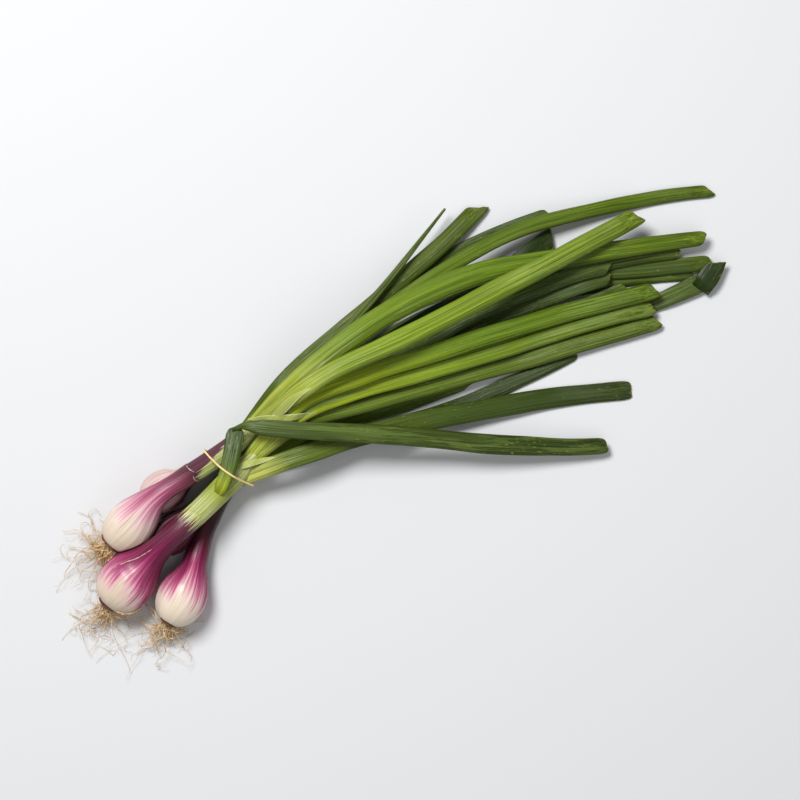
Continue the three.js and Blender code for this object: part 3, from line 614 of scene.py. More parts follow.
def skin_material(name):
    """Waxy skin: sharp meridian streaks where one colour gives way to the next, and fine veins all over."""
    look = SKINS[name]
    onion = ONIONS[name]
    total = float(shaft_reach(onion, len(onion.stations) - 1))
    n = Nodes(f"skin_{name}")
    away = n.field("along")
    wide = n.noise(2.6, 0.01, 2)
    fine = n.noise(9, 0.016, 3, 0.65)
    hair = n.noise(26, 0.012, 2, 0.6)
    fingers = n.plus(n.grade(fine, 0.36, 0.64), n.times(n.grade(hair, 0.4, 0.6), 0.5))
    shift = n.plus(n.about(fingers, look.streak * 0.8, 0.75), n.about(wide, look.streak * 1.8))
    tone = n.plus(n.field("tone"), n.times(shift, n.grade(away, 2, 15)))
    n.ramp(n.math("DIVIDE", tone, total), [(place / total, colour) for place, colour in look.stops])
    # Pale lines, darker veins, the maroon of the root end, and a few scars.
    n.paint(n.times(n.grade(hair, 0.56, 0.64), n.grade(away, 14, 40, 0.3, 0.1)), (236, 206, 210))
    n.paint(n.times(n.grade(hair, 0.45, 0.37), n.grade(away, 6, 30, 0.04, 0.5)), (176, 104, 134), "MULTIPLY")
    n.paint(n.grade(n.plus(away, n.times(hair, 1.2)), 1.0, 1.9, 0.9, 0), MAROON)
    n.wash(n.noise(5, 0.22, 3, 0.6), 0.68, 0.74, 0.3, (206, 178, 150))
    n.paint(1.0, SKIN_DEPTH, "MULTIPLY")
    if look.greens:
        end = float(shaft_reach(onion, onion.green_from))
        green = n.mix(n.grade(fine, 0.5, 0.6, 0, 0.8), NECK_GREEN, STRIPE)
        n.paint(n.grade(n.plus(away, n.times(fingers, look.greens)), end, end + 1.5), green)
    n.bump(n.plus(n.times(fine, 0.6), hair), 0.0002)
    return n.finish(n.grade(fine, 0.3, 0.7, 0.24, 0.36), Specular_IOR_Level=0.3, Subsurface_Weight=0.05,
                    Subsurface_Scale=0.002)


# How far the purple skin runs on up each green neck, and its darker and paler purples there. On b it ends
# before the neck starts, so none shows.
NECK_PURPLE = {
    "a": (4, (68, 30, 42), (96, 50, 64)),
    "b": (-20, (82, 34, 52), (108, 54, 70)),
    "c": (12, (48, 20, 28), (72, 30, 42)),
    "d": (12, (52, 20, 32), (78, 36, 48)),
    "e": (12, (46, 18, 27), (70, 30, 40)),
}
PURPLE_END = 18  # where the purple would end on a neck whose reach is 0, before the raggedness
PURPLE_FADE = 2


def neck_material(name):
    """Green neck: close white stripes along it, and purple as far as the bulb's skin runs on."""
    reach, dark_purple, pale_purple = NECK_PURPLE[name]
    n = Nodes(f"neck_{name}")
    tone = n.field("tone")
    fine = n.noise(9, 0.012, 3, 0.7)
    hair = n.noise(24, 0.01, 2, 0.6)
    n.colour = n.mix(n.grade(n.noise(1.6, 0.06), 0.38, 0.62), NECK_GREEN, BRIGHT_GREEN)
    n.wash(hair, 0.5, 0.62, 0.75, STRIPE)
    n.wash(fine, 0.53, 0.61, 0.8, STRIPE)
    n.wash(fine, 0.47, 0.4, 0.55, (108, 126, 36))
    if name == "b":
        n.paint(n.times(n.grade(tone, 7, 18), n.grade(tone, 34, 22, 0, 0.75)), LUSH_GREEN)
    edge = n.plus(tone, n.plus(n.times(fine, 26.0), n.times(hair, 10.0)))
    purple = n.mix(n.grade(hair, 0.4, 0.6), dark_purple, pale_purple)
    n.paint(n.grade(edge, PURPLE_END + reach, PURPLE_END + reach + PURPLE_FADE, 1, 0), purple)
    n.bump(n.plus(n.times(fine, 0.6), hair), 0.0003, 0.7)
    return n.finish(n.grade(fine, 0.3, 0.7, 0.36, 0.5), Specular_IOR_Level=0.35)


# Colours of a leaf at its base, where it opens, at its middle and tip, of its streaks and its edges; how
# much grey bloom it has; how much painted shade darkens its right flank; how clear the painted highlight
# along its crease is; and how deep its ribs.
Look = namedtuple("Look", "base opened middle tip streak edge bloom flank crease bump",
                  defaults=(0.55, 0.6, 0.9))
LEAF_LOOKS = {
    "pale": Look(LEAF_BASE, (130, 154, 46), (114, 141, 36), (90, 110, 36), (170, 190, 104), (92, 110, 30),
        0.25),
    "bright": Look(LEAF_BASE, (114, 140, 12), (90, 121, 18), (76, 94, 30), (138, 162, 60), (80, 96, 22),
        0.15),
    "vivid": Look(LEAF_BASE, (200, 218, 26), (98, 128, 18), (62, 84, 16), (134, 160, 54), (80, 96, 20), 0.2,
        flank=0.3),
    "fresh": Look((160, 172, 54), (122, 150, 36), (90, 116, 34), (58, 77, 16), (124, 146, 60), (98, 92, 30),
        0.15),
    "bloomy": Look(LEAF_BASE, (202, 220, 26), (122, 150, 38), (68, 88, 28), (148, 170, 88), (74, 92, 20),
        0.8, flank=0.3),
    "sheathed": Look((216, 220, 164), (106, 126, 50), (64, 84, 34), (28, 40, 14), (70, 88, 44),
        (76, 78, 36), 0.1, flank=0.3),
    "dull": Look(LEAF_BASE, (104, 128, 34), (92, 113, 44), (72, 90, 26), (126, 142, 80), (106, 100, 44),
        0.35),
    "mid": Look((130, 150, 46), (100, 124, 38), (62, 81, 28), (64, 82, 30), (98, 118, 54), (86, 86, 36),
        0.15),
    "olive": Look((110, 126, 40), (92, 110, 34), (66, 85, 22), (68, 86, 22), (106, 120, 56), (94, 88, 38),
        0.2),
    "deep": Look((84, 104, 24), (58, 77, 28), (54, 72, 30), (58, 77, 32), (76, 96, 46), (70, 76, 30), 0.25),
    "shade": Look((84, 104, 24), (54, 72, 22), (42, 58, 14), (48, 64, 18), (62, 80, 32), (70, 76, 30), 0),
    "dark": Look((36, 52, 22), (34, 50, 20), (32, 48, 20), (34, 50, 20), (50, 66, 34), (74, 86, 40), 0,
        crease=0.15, bump=0.3),
    "grey": Look((84, 103, 38), (68, 88, 36), (52, 69, 28), (40, 50, 22), (94, 110, 68), (88, 82, 44), 0.4),
    "rise": Look((178, 190, 32), (88, 110, 22), (54, 76, 22), (40, 56, 16), (86, 108, 44), (48, 64, 24), 0),
}
# Where leaves stop being as pale as the neck they come from, by distance along them, and where they are
# green.
PALE_REACH = {"a": (38, 74), "b": (30, 48), "c": (8, 30), "d": (6, 24), "e": (8, 30)}
# The same two places in a leaf's run of colours, which goes from 0 to 1, and the place of its middle
# colour.
BASE_SHARE, OPEN_SHARE, MIDDLE_SHARE = 0.2, 0.35, 0.65


def leaf_material(name):
    """Ribbed waxy leaf: pale and striped at the base, streaked along, with bloom and worn edges, painted
    shade on its flanks and a painted highlight along a crease.
    """
    look = LEAF_LOOKS[name]
    n = Nodes(f"leaf_{name}")
    across = n.field("side")
    slow = n.noise(0.12, 0.014)
    broad = n.noise(0.5, 0.006, 3, 0.65)
    thread = n.noise(1.5, 0.007, 2, 0.6)
    hair = n.noise(3.2, 0.01, 2, 0.6)
    run = n.math("ADD", n.field("run"), n.about(broad, 0.22), clamp=True)
    places = (BASE_SHARE, OPEN_SHARE, MIDDLE_SHARE, 1)
    n.ramp(run, tuple(zip(places, (look.base, look.opened, look.middle, look.tip))))
    # Stripes at the base, then paler and darker streaks of three widths.
    n.paint(n.times(n.grade(hair, 0.5, 0.6), n.grade(run, BASE_SHARE, OPEN_SHARE, 0.75, 0)), LEAF_STRIPE)
    n.wash(thread, 0.52, 0.7, 0.6, look.streak)
    n.wash(hair, 0.54, 0.6, 0.6, look.streak)
    n.wash(thread, 0.47, 0.34, 0.5, (40, 58, 8))
    n.wash(broad, 0.5, 0.66, 0.4, look.streak)
    n.wash(broad, 0.48, 0.34, 0.35, (40, 58, 12))
    # A painted highlight along a wandering crease, and patches of bloom.
    crease = n.math("ABSOLUTE", n.plus(n.plus(across, 0.18), n.about(slow, 0.5)))
    n.paint(n.times(n.grade(crease, 0.1, 0.03, 0, look.crease), n.grade(hair, 0.4, 0.55)), look.streak)
    patches = n.noise(0.22, 0.02, 4, 0.75)
    bloom = n.times(n.grade(patches, 0.47, 0.54), n.grade(slow, 0.35, 0.55, 0, look.bloom))
    n.paint(bloom, (118, 140, 100))
    # Painted shade darkening both flanks, the right one more, then worn edges, pale spots and flecks, and a
    # dry rim at the cut end.
    side = n.plus(across, n.about(broad, 0.5))
    n.wash(side, 0.35, 1.0, look.flank, (36, 52, 8))
    n.wash(side, -0.75, -1.1, 0.35, (44, 60, 10))
    n.wash(n.plus(n.math("ABSOLUTE", across), n.times(thread, 0.14)), 0.95, 1.12, 0.6, look.edge)
    n.wash(n.noise(0.9, 0.4, 2, 0.5), 0.75, 0.79, 0.7, (176, 172, 120))
    flecks = n.noise(1.5, 0.3, 2, 0.5)
    n.paint(n.times(n.grade(flecks, 0.66, 0.7), n.grade(slow, 0.45, 0.6, 0, 0.6)), (158, 172, 104))
    n.wash(n.plus(n.field("rim"), n.about(thread, 0.8)), 0.5, 0.95, 0.6, (142, 132, 70))
    n.paint(1.0, LEAF_DEPTH, "MULTIPLY")
    n.bump(n.plus(n.times(broad, 0.8), thread), 0.0005, look.bump)
    rough = n.plus(n.grade(broad, 0.3, 0.7, 0.27, 0.4), n.times(bloom, 0.2))
    return n.finish(rough, Specular_IOR_Level=0.22)


def sheath_material():
    """Thin whitish skin with fine lines along it."""
    n = Nodes("sheath_skin")
    thread = n.noise(3.4, 0.03, 3, 0.6)
    n.colour = n.mix(n.grade(thread, 0.42, 0.58), (150, 160, 68), (174, 182, 104))
    n.wash(n.plus(n.field("rim"), n.about(thread, 0.5)), 0.84, 1.0, 0.9, (206, 212, 164))
    n.bump(thread, 0.0002)
    return n.finish(n.grade(thread, 0.3, 0.7, 0.4, 0.55), Specular_IOR_Level=0.35)


def root_material():
    """Dry blotched fibre, reddish where it leaves the basal plate."""
    n = Nodes("root_fibre")
    blotch = n.noise(0.3, 0.3)
    speck = n.noise(2, 2, 2)
    n.ramp(blotch, ((0.32, (164, 122, 78)), (0.5, (214, 178, 128)), (0.68, (238, 218, 178))))
    n.wash(speck, 0.6, 0.75, 0.4, (126, 88, 54))
    n.paint(n.grade(n.field("run"), 0, 0.08, 0.85, 0), (86, 44, 42))
    n.bump(speck, 0.0001)
    return n.finish(n.grade(blotch, 0.3, 0.7, 0.6, 0.85))


def paper_material(name, dark, pale):
    """Dry papery skin, half lifted."""
    n = Nodes(name)
    vein = n.noise(1.4, 0.1, 3, 0.6)
    n.ramp(vein, ((0.38, dark), (0.62, pale)))
    n.bump(vein, 0.0002)
    return n.finish(n.grade(vein, 0.3, 0.7, 0.5, 0.75))


def band_material():
    """Tan rubber, faintly mottled."""
    n = Nodes("tan_rubber")
    mottle = n.noise(0.6, 0.6)
    n.ramp(mottle, ((0.3, (224, 194, 124)), (0.7, (246, 224, 166))))
    n.bump(n.noise(4, 4, 2), 0.00004, 0.5)
    return n.finish(n.grade(mottle, 0.3, 0.7, 0.42, 0.6))


# ---------- bulbs, necks and stems

BULB_SIDES = 96
# Ribs here and below: number round, and height as a share of the piece's own.
BULB_RIBS = ((3, 0.014), (5, 0.01), (11, 0.006), (19, 0.005), (31, 0.004))
END_STATIONS = 2  # the round root end, whose rings lie closer
END_RINGS, BODY_RINGS, STEM_RINGS = 30, 130, 90
STEM_OVERLAP = 0.12  # how far a stem starts inside its bulb's end, in stations
# How many stations before its end a skin starts to lift and to tear, and a stem to narrow and to slant.
LIFTS, TEARS, NARROWS, SLANTS = 1.2, 0.5, 1.3, 1.2
STEM_NARROWING = 0.5
SIDE_PURPLE = 36  # how much further the purple runs on one side of a's neck
SKIN_LIP = {"a": 0.35, "b": 0.1, "c": 0.35, "d": 0.35, "e": 0.35}  # how far each skin's torn end stands out


def shaft_points(name, ts, swell):
    """Rings of an onion's bulb or neck with its low ribs, and their turns and forward directions."""
    rows, forward, across, up = shaft(ONIONS[name], ts)
    phi = turns(BULB_SIDES)
    relief = ripple(random.Random(f"ribs {name}"), phi, BULB_RIBS)
    radius = (rows[:, 3] + swell)[:, None] * (1 + relief[None, :])
    return rows[:, None, :3] + spokes(across, up, phi) * radius[..., None], phi, forward


def shaft_fields(name, phi, ts):
    """What a skin's material reads: grain, distance from the root end, and that shifted by side."""
    look = SKINS[name]
    away = shaft_reach(ONIONS[name], ts)[:, None]
    right, left = look.sides
    lean = right * np.maximum(np.cos(phi), 0) ** 1.5 + left * np.maximum(-np.cos(phi), 0) ** 1.5
    lean = lean - look.under * np.sin(phi)
    return {"grain": vectors(np.cos(phi), np.sin(phi), away), "along": away,
            "tone": away + lean[None] * smoothstep(away, 3, 16)}


def make_bulb(name, material):
    """The bulb and its purple neck, as far as its torn papery edge."""
    end = ONIONS[name].green_from
    ts = np.concatenate((np.linspace(0, END_STATIONS, END_RINGS)[:-1],
                         np.linspace(END_STATIONS, end + 0.02, BODY_RINGS)))
    lip = SKIN_LIP[name] * smoothstep(ts, end - LIFTS, end)
    points, phi, forward = shaft_points(name, ts, lip)
    torn = 0.9 * np.sin(2 * phi + 1) + 0.6 * np.sin(5 * phi) + 0.4 * np.sin(11 * phi)
    points = pressed(drawn_out(points, forward, smoothstep(ts, end - TEARS, end), torn), name)
    surface(f"bulb_{name}", points, shaft_fields(name, phi, ts), material, f"onion_{name}_bulb")


def make_stem(name):
    """The green neck, opening into a slanted sheath that the leaves come out of."""
    onion = ONIONS[name]
    last = len(onion.stations) - 1
    ts = np.linspace(onion.green_from - STEM_OVERLAP, last, STEM_RINGS)
    points, phi, forward = shaft_points(name, ts, 0)
    middle = points.mean(axis=1, keepdims=True)
    narrow = 1 - STEM_NARROWING * smoothstep(ts, last - NARROWS, last)
    points = middle + (points - middle) * narrow[:, None, None]
    slant = 5 * np.cos(phi - 1.1) + 2.4 * np.cos(2 * phi)
    points = drawn_out(points, forward, smoothstep(ts, last - SLANTS, last), slant)
    fields = shaft_fields(name, phi, ts)
    purple = (SIDE_PURPLE if name == "a" else 0) * np.maximum(0, np.sin(phi - 1.3))
    fields["tone"] = fields["along"] - fields["along"][0] - purple[None]
    surface(f"stem_{name}", points, fields, neck_material(name), f"onion_{name}_leaves")
    return points


# The shreds of dry skin that stand off: a long scratch up b's neck, a flake under b, and a spur at the root
# end of a and of b. Each has its paper, with a darker and a paler colour, its width and lift, and the spots
# (station, turn) that it passes.
PAPERS = {
    "dry_paper": ((128, 92, 62), (216, 192, 160)),
    "white_paper": ((150, 96, 104), (214, 188, 182)),
    "maroon_paper": ((66, 20, 32), (122, 52, 66)),
}
SHREDS = (
    ("b_scratch", "white_paper", 0.7, 0.1, ((5.6, 2.3), (6.6, 2.25), (7.6, 2.1), (8.6, 1.9))),
    ("b_flake", "dry_paper", 2.6, 0.5, ((1.2, 0.9), (1.9, 0.55), (2.8, 0.3), (3.9, 0.12))),
    ("a_spur", "maroon_paper", 1.8, 0.3, ((1.6, 2.6), (0.8, 2.5), (0.25, 2.2))),
    ("b_spur", "maroon_paper", 2.2, 0.3, ((1.3, 2.3), (0.7, 2.2), (0.2, 1.9))),
)
# The two parts of a's torn cuff: the turns that each covers, and the stations that it waves up and down.
CUFFS = ((0.1, 1.25, 0.15), (1.5, 2.6, -0.1))
CUFF_WIDTH, CUFF_LIFT, CUFF_POINTS = 0.6, 0.45, 6
SHRED_SIDES, SHRED_RINGS = 10, 40
SHRED_THIN = 0.16  # half a shred's thickness


def skin_point(name, t, turn, lift):
    """A point on an onion's skin: at station t, turned from its right side towards its top."""
    rows, _, across, up = shaft(ONIONS[name], [t])
    return rows[0, :3] + (rows[0, 3] + lift) * (across[0] * math.cos(turn) + up[0] * math.sin(turn))


def make_shred(name, material, wide, lift, spots):
    """A thin dry shred of skin past spots (station, turn), tapering to both ends."""
    path = [skin_point(name[0], t, turn, lift) for t, turn in spots]
    fine = np.array([along(path, t) for t in np.linspace(0, len(path) - 1, SHRED_RINGS)])
    across, up = sideways(unit(np.gradient(fine, axis=0)))
    phi = turns(SHRED_SIDES)
    taper = np.sin(np.linspace(0.06, 0.97, SHRED_RINGS) * math.pi) ** 0.5
    half = wide / 2 * taper * (1 + wobble(reach_of(fine), f"shred_{name}", 0.25, 5))
    wide, high = half[:, None] * np.cos(phi), SHRED_THIN * taper[:, None] * np.sin(phi)
    points = rings(fine, across, up, wide, high)
    surface(f"shred_{name}", points, {"grain": points}, material, f"onion_{name[0]}_bulb")


def make_shreds():
    papers = {name: paper_material(name, *colours) for name, colours in PAPERS.items()}
    for name, paper, wide, lift, spots in SHREDS:
        make_shred(name, papers[paper], wide, lift, spots)
    end = ONIONS["a"].green_from
    for part, (low, high, wave) in enumerate(CUFFS):
        spots = [(end + wave * math.cos(3 * turn), turn) for turn in np.linspace(low, high, CUFF_POINTS)]
        make_shred(f"a_cuff_{part}", papers["white_paper"], CUFF_WIDTH, CUFF_LIFT, spots)


# ---------- leaves

LEAF_SIDES = 56
LEAF_RING_STEP = 3
TIP_RINGS = 16
TIP_LEAD = 3  # how much sooner than the tip they start
# How a leaf wavers sideways, in width, in thickness and in roll: each one's size and period.
WANDER, WIDTH_WAVER, THICK_WAVER, ROLL_WAVER = (0.35, 130), (0.03, 70), (0.1, 90), (0.09, 160)
WANDER_FROM, ROLL_FROM = (30, 80), (40, 110)  # the distances between which two of them come in
THIN_END, THIN_LENGTH = 0.6, 16  # how much a leaf thins at its end, and over what length
# b5 starts as a narrow low swelling of the neck: share of its width, full from; how far down, full from.
RISE_WIDTH, RISE_OPEN, RISE_SINK, RISE_UP = 0.45, 12, 1.6, 9
GRAIN_OFFSET = 400  # most by which one leaf's grain is shifted from another's
LEAF_RIBS = ((9, 0.05), (14, 0.05), (21, 0.045))
TEETH = (5, 9, 16, 27)  # waves across a leaf's torn end
CUT_LENGTH = 10  # how far from its end a leaf's cut starts to shape it
RIM_LENGTH = 1.6


def end_profile(cut, across, draw):
    """How far a leaf's end stands out, by the place across, from -1 at the left to 1 at the right."""
    slant, bite, rag = cut
    place = draw.uniform(-0.3, 0.5)
    torn = bite * np.exp(-((across - place) / 0.3) ** 2)
    teeth = sum(np.sin(k * across + draw.uniform(0, ANY_TURN)) / k ** 0.5 for k in TEETH)
    return slant * across - torn + rag * 0.5 * teeth


def make_leaf(leaf, material):
    """A leaf's blade along its laid way: ribbed, grooved and a little rolled, with a cut or torn end."""
    s_laid, points_laid = laid[leaf.name]
    length = s_laid[-1]
    tip = TIP_LENGTH * leaf.widths[-1] + TIP_LEAD
    body = np.linspace(0, length - tip, max(6, int((length - tip) / LEAF_RING_STEP)))
    s = np.concatenate((body[:-1], length - tip * np.cos(np.linspace(0, math.pi / 2, TIP_RINGS))))
    centres = np.stack([np.interp(s, s_laid, points_laid[:, k]) for k in range(3)], axis=1)
    forward = unit(np.gradient(centres, s, axis=0))
    across, up = sideways(forward)
    seed = f"leaf {leaf.name}"
    centres = centres + across * (wobble(s, seed, *WANDER) * smoothstep(s, *WANDER_FROM))[:, None]
    half = np.array([leaf_width(leaf, d, length) / 2 for d in s])
    half = half * (1 + wobble(s, seed + "w", *WIDTH_WAVER))
    thick = leaf.thick / 2 * (1 + wobble(s, seed + "t", *THICK_WAVER))
    thick = thick * (1 - THIN_END * smoothstep(s, length - THIN_LENGTH, length))
    if leaf.name == "b5_rise":
        half = half * (RISE_WIDTH + (1 - RISE_WIDTH) * smoothstep(s, 0, RISE_OPEN))
        centres[:, 2] -= RISE_SINK * (1 - smoothstep(s, 0, RISE_UP))
    theta = turns(LEAF_SIDES)
    draw = random.Random(seed)
    ribs = ripple(draw, theta, LEAF_RIBS)
    deep, aside = draw.uniform(0.06, 0.2), draw.uniform(-0.4, 0.4)
    groove = -deep * np.exp(-((theta - math.pi / 2 - aside) / 0.28) ** 2)
    wide = half[:, None] * np.cos(theta)
    high = thick[:, None] * (np.sin(theta) * (1 + ribs + groove))
    roll = (wobble(s, seed + "r", *ROLL_WAVER) * smoothstep(s, *ROLL_FROM))[:, None]
    tilted_across = across * np.cos(roll) + up * np.sin(roll)
    tilted_up = up * np.cos(roll) - across * np.sin(roll)
    points = rings(centres, tilted_across, tilted_up, wide, high)
    profile = end_profile(leaf.cut, np.cos(theta), draw)
    points = drawn_out(points, forward, smoothstep(s, length - CUT_LENGTH, length), profile)
    offset = draw.uniform(0, GRAIN_OFFSET)
    pale, opened = leaf.pale or PALE_REACH[leaf.name[0]]
    run = np.interp(s, (0, pale, opened, length), (0, BASE_SHARE, OPEN_SHARE, 1))
    fields = {
        "grain": vectors(wide + offset, thick[:, None] * np.sin(theta) + offset, s[:, None]),
        "run": run[:, None],
        "side": np.cos(theta),
        "rim": smoothstep(s, length - RIM_LENGTH, length)[:, None],
    }
    surface(f"leaf_{leaf.name}", points, fields, material, f"onion_{leaf.name[0]}_leaves")
    return points


SHEATH_TURN = math.radians(18)  # the way the sheaths' fibres run, above the X axis
SHEATH_STEP = 0.8  # between the points along a rim
SHEATH_POINTS = 9  # from the rim back to the stem
SHEATH_SKIN = 0.35
SHEATH_SINK = 0.45  # how far its root end lies inside what it covers
SMOOTHINGS = 8


def make_sheath(sheath, material):
    """A thin flap of skin that rises out of a stem, over the bases of its leaves, to a free rim."""
    s, rim = even_route(sheath["rim"], SHEATH_STEP)
    shares = np.linspace(0, 1, SHEATH_POINTS)
    taper = np.sin(np.linspace(0.02, 0.98, len(s)) * math.pi) ** 0.7
    plan = rim[:, None] + np.array(sheath["back"], float) * shares[None, :, None] * taper[:, None, None]
    ground = np.array([[ground_under(x, y, under_fold) for x, y in row] for row in plan])
    for _ in range(SMOOTHINGS):
        for axis in (0, 1):
            edges = [(1, 1) if k == axis else (0, 0) for k in (0, 1)]
            rows = np.moveaxis(np.pad(ground, edges, "edge"), axis, 0)
            ground = np.moveaxis((rows[:-2] + 2 * rows[1:-1] + rows[2:]) / 4, 0, axis)
    lift = taper[:, None] * (1 - shares[None]) ** 0.6 + 0.06 * np.sin(2.1 * s)[:, None]
    top = np.dstack((plan, ground - SHEATH_SINK + lift))
    points = np.concatenate((top, (top - (0, 0, SHEATH_SKIN))[:, ::-1]), axis=1)
    cos, sin = math.cos(SHEATH_TURN), math.sin(SHEATH_TURN)
    x, y = points[..., 0], points[..., 1]
    fields = {"grain": vectors(y * cos - x * sin, 0, x * cos + y * sin),
              "rim": np.concatenate((1 - shares, 1 - shares[::-1]))}
    name = sheath["name"]
    surface(f"sheath_{name}", points, fields, material, f"onion_{name[0]}_leaves")


# ---------- roots

PLATE_THICKNESS = 1.5  # of the part's basal plates, in which the roots start
ROOT_SIDES = 5
ROOT_TAPER = 0.7  # how much thinner a root is at its end
ROOT_POINTS = 26
KINK_CHANCE, KINKS = 0.1, (0.3, 0.7)
BEND_KEPT = 0.6  # how much of a bend goes on in the next step
HOMING = 0.06  # how strongly a root comes back to its heading
FORK_POINTS = (7, 22)  # where along a root it may fork
TWIG_TURN, TWIG_REACH = (0.5, 1.2), (0.15, 0.4)
ROOT_CURL, TWIG_CURL = 0.14, 0.16
ROOT_THICK, TWIG_THICK, LONG_ROOT_THICK = (0.22, 0.4), (0.1, 0.18), 0.24
REACHES = (0.5, 0.75, 0.95, 1.1, 1.25)  # shares of an onion's own reach
ROOT_LEAN = {"a": (2.6, 1.4)}  # the spread of headings, leaning to the fan's far side
EVEN_LEAN = (1.7, 1.7)
HANG = {"a": (226, 0.9)}  # the heading that roots turn to on their way, and how much of the way to it
# Single long roots of each onion: heading, length, and how fast they curl.
LONG_ROOTS = {
    "a": ((204, 44, 0.06), (162, 42, 0.05), (190, 46, 0.06), (170, 40, 0.07), (178, 46, 0.05),
          (184, 44, 0.07)),
    "b": ((178, 30, 0.06), (222, 38, 0.05), (262, 44, 0.06), (284, 52, 0.08), (300, 40, 0.1)),
    "c": ((196, 44, 0.06), (216, 52, 0.05), (232, 48, 0.04), (268, 34, 0.06)),
    "d": (), "e": (),
}


class Fibres:
    """One onion's roots, gathered into a single mesh. run goes from 0 at the plate to 1 at a root's end."""

    def __init__(self):
        self.vertices, self.faces, self.run = [], [], []

    def add(self, path, thick, from_plate):
        """Adds one tapering root along a path of points."""
        path = np.array(path)
        forward = unit(np.gradient(path, axis=0) + 1e-9)
        aside = unit(np.cross(forward, (0.12, 0.2, 1)) + 1e-9)
        upward = np.cross(aside, forward)
        start = len(self.vertices)
        share = np.arange(len(path)) / (len(path) - 1)
        radius = thick * (1 - ROOT_TAPER * share)
        points = path[:, None] + radius[:, None, None] * spokes(aside, upward, turns(ROOT_SIDES))
        self.vertices += [tuple(spot) for spot in points.reshape(-1, 3)]
        self.run += list(np.repeat(share if from_plate else np.ones(len(path)), ROOT_SIDES))
        self.faces += tube_faces(start, len(path), ROOT_SIDES)
        last = len(self.vertices)
        ends = (range(start, start + ROOT_SIDES), range(last - 1, last - ROOT_SIDES - 1, -1))
        self.faces += [tuple(end) for end in ends]


def root_path(start, heading, reach, draw, low, curl, turn=0):
    """A root's wandering, kinked way out and down towards the surface, turning as it goes."""
    last = ROOT_POINTS - 1
    angle = heading
    point = np.array(start, float)
    path = [point.copy()]
    bend = draw.gauss(0, curl)
    step = reach / last
    for i in range(1, ROOT_POINTS):
        bend = BEND_KEPT * bend + draw.gauss(0, curl)
        if draw.random() < KINK_CHANCE:
            bend += draw.choice((-1, 1)) * draw.uniform(*KINKS)
        onward = heading + turn * i / last
        angle += bend + turn / last + HOMING * math.sin(onward - angle)
        point[0] += step * math.cos(angle)
        point[1] += step * math.sin(angle)
        sunk = min(1, 1.3 * i / last) ** 1.1
        goal = start[2] + (low - start[2]) * sunk
        point[2] += (goal - point[2]) * 0.5 + draw.gauss(0, 0.3)
        path.append(point.copy())
    return path


def make_roots(name, material):
    """An onion's roots, with their forks, and the plate that they grow from."""
    onion = ONIONS[name]
    draw = random.Random(f"roots {name}")
    first, second = (along(onion.stations, t) for t in (0, 1))
    centre = first[:3]
    outward = unit(centre - second[:3])
    low, high = (math.radians(a) for a in onion.fan)
    habits = [(low + (high - low) * draw.betavariate(*ROOT_LEAN.get(name, EVEN_LEAN)) + draw.gauss(0, 0.06),
               draw.uniform(*onion.reach) * draw.choice(REACHES), ROOT_CURL,
               draw.uniform(*ROOT_THICK)) for _ in range(onion.roots)]
    habits += [(math.radians(a), reach, curl, LONG_ROOT_THICK) for a, reach, curl in LONG_ROOTS[name]]
    fibres = Fibres()
    for spread, reach, curl, thick in habits:
        rim = draw.uniform(-1, 1) * first[3] * 0.8
        start = centre + outward * PLATE_THICKNESS * 0.4
        start = start + np.array((-math.sin(spread), math.cos(spread), draw.uniform(-0.8, 0.8))) * rim
        goal, share = HANG.get(name, (0, 0))
        turn = share * (math.radians(goal) - spread)
        path = root_path(start, spread, reach, draw, draw.uniform(0.5, 6), curl, turn)
        fibres.add(path, thick, True)
        if draw.random() < onion.forked:
            for _ in range(draw.choice((1, 2, 3))):
                fork = draw.randrange(*FORK_POINTS)
                heading = math.atan2(*(path[fork] - path[fork - 1])[[1, 0]])
                heading += draw.choice((-1, 1)) * draw.uniform(*TWIG_TURN)
                length = reach * draw.uniform(*TWIG_REACH)
                twig = root_path(path[fork], heading, length, draw, 0.5, TWIG_CURL)
                fibres.add(twig, draw.uniform(*TWIG_THICK), False)
    fields = {"grain": np.array(fibres.vertices)[None], "run": np.array(fibres.run)[None]}
    finish_mesh(f"roots_{name}", fibres.vertices, fibres.faces, fields, material, f"onion_{name}_roots")
    make_plate(name, centre, outward, first[3], material)


PLATE_SIDES = 40
# The plate's rims: distance out, and width as a share of the root end's radius.
PLATE_RIMS = ((0.3, 0.95), (0.6, 1.0), (1.0, 0.96), (1.3, 0.85), (1.5, 0.6), (1.6, 0.3))


def make_plate(name, centre, outward, radius, material):
    """The corky basal plate that the roots grow from."""
    phi = turns(PLATE_SIDES)
    across, up = sideways(outward)
    rough = 1 + 0.06 * np.cos(5 * phi) + 0.05 * np.cos(9 * phi + 1)
    ring = across * (np.cos(phi) * rough)[:, None] + up * (np.sin(phi) * rough)[:, None]
    points = np.array([centre + outward * out + radius * share * ring for out, share in PLATE_RIMS])
    fields = {"grain": points, "run": np.zeros(1)}
    surface(f"plate_{name}", points, fields, material, f"onion_{name}_roots")


# ---------- rubber band

# As in the part: half its thickness, the middle of its plane and the way it runs, and how far its top bows.
BAND_RADIUS = 0.6
BAND_MIDDLE = np.array((-1.0, -1.0, 0.0))
BAND_ANGLE = math.radians(-64)
BAND_BOW = 2.2
BAND_GAP = 0.1  # air under it
BAND_RINGS, BAND_SIDES, RIM_CORNERS = 160, 14, 12
BOW_HEIGHTS = (4, 16)  # between which the bow comes in


def hull(points):
    """Corners of the convex outline round plane points."""
    points = sorted(map(tuple, points))

    def half(line):
        chain = []
        for p in line:
            while len(chain) > 1:
                (ax, ay), (bx, by) = chain[-2], chain[-1]
                if (bx - ax) * (p[1] - ay) - (by - ay) * (p[0] - ax) > 0:
                    break
                chain.pop()
            chain.append(p)
        return chain[:-1]

    return half(points) + half(points[::-1])


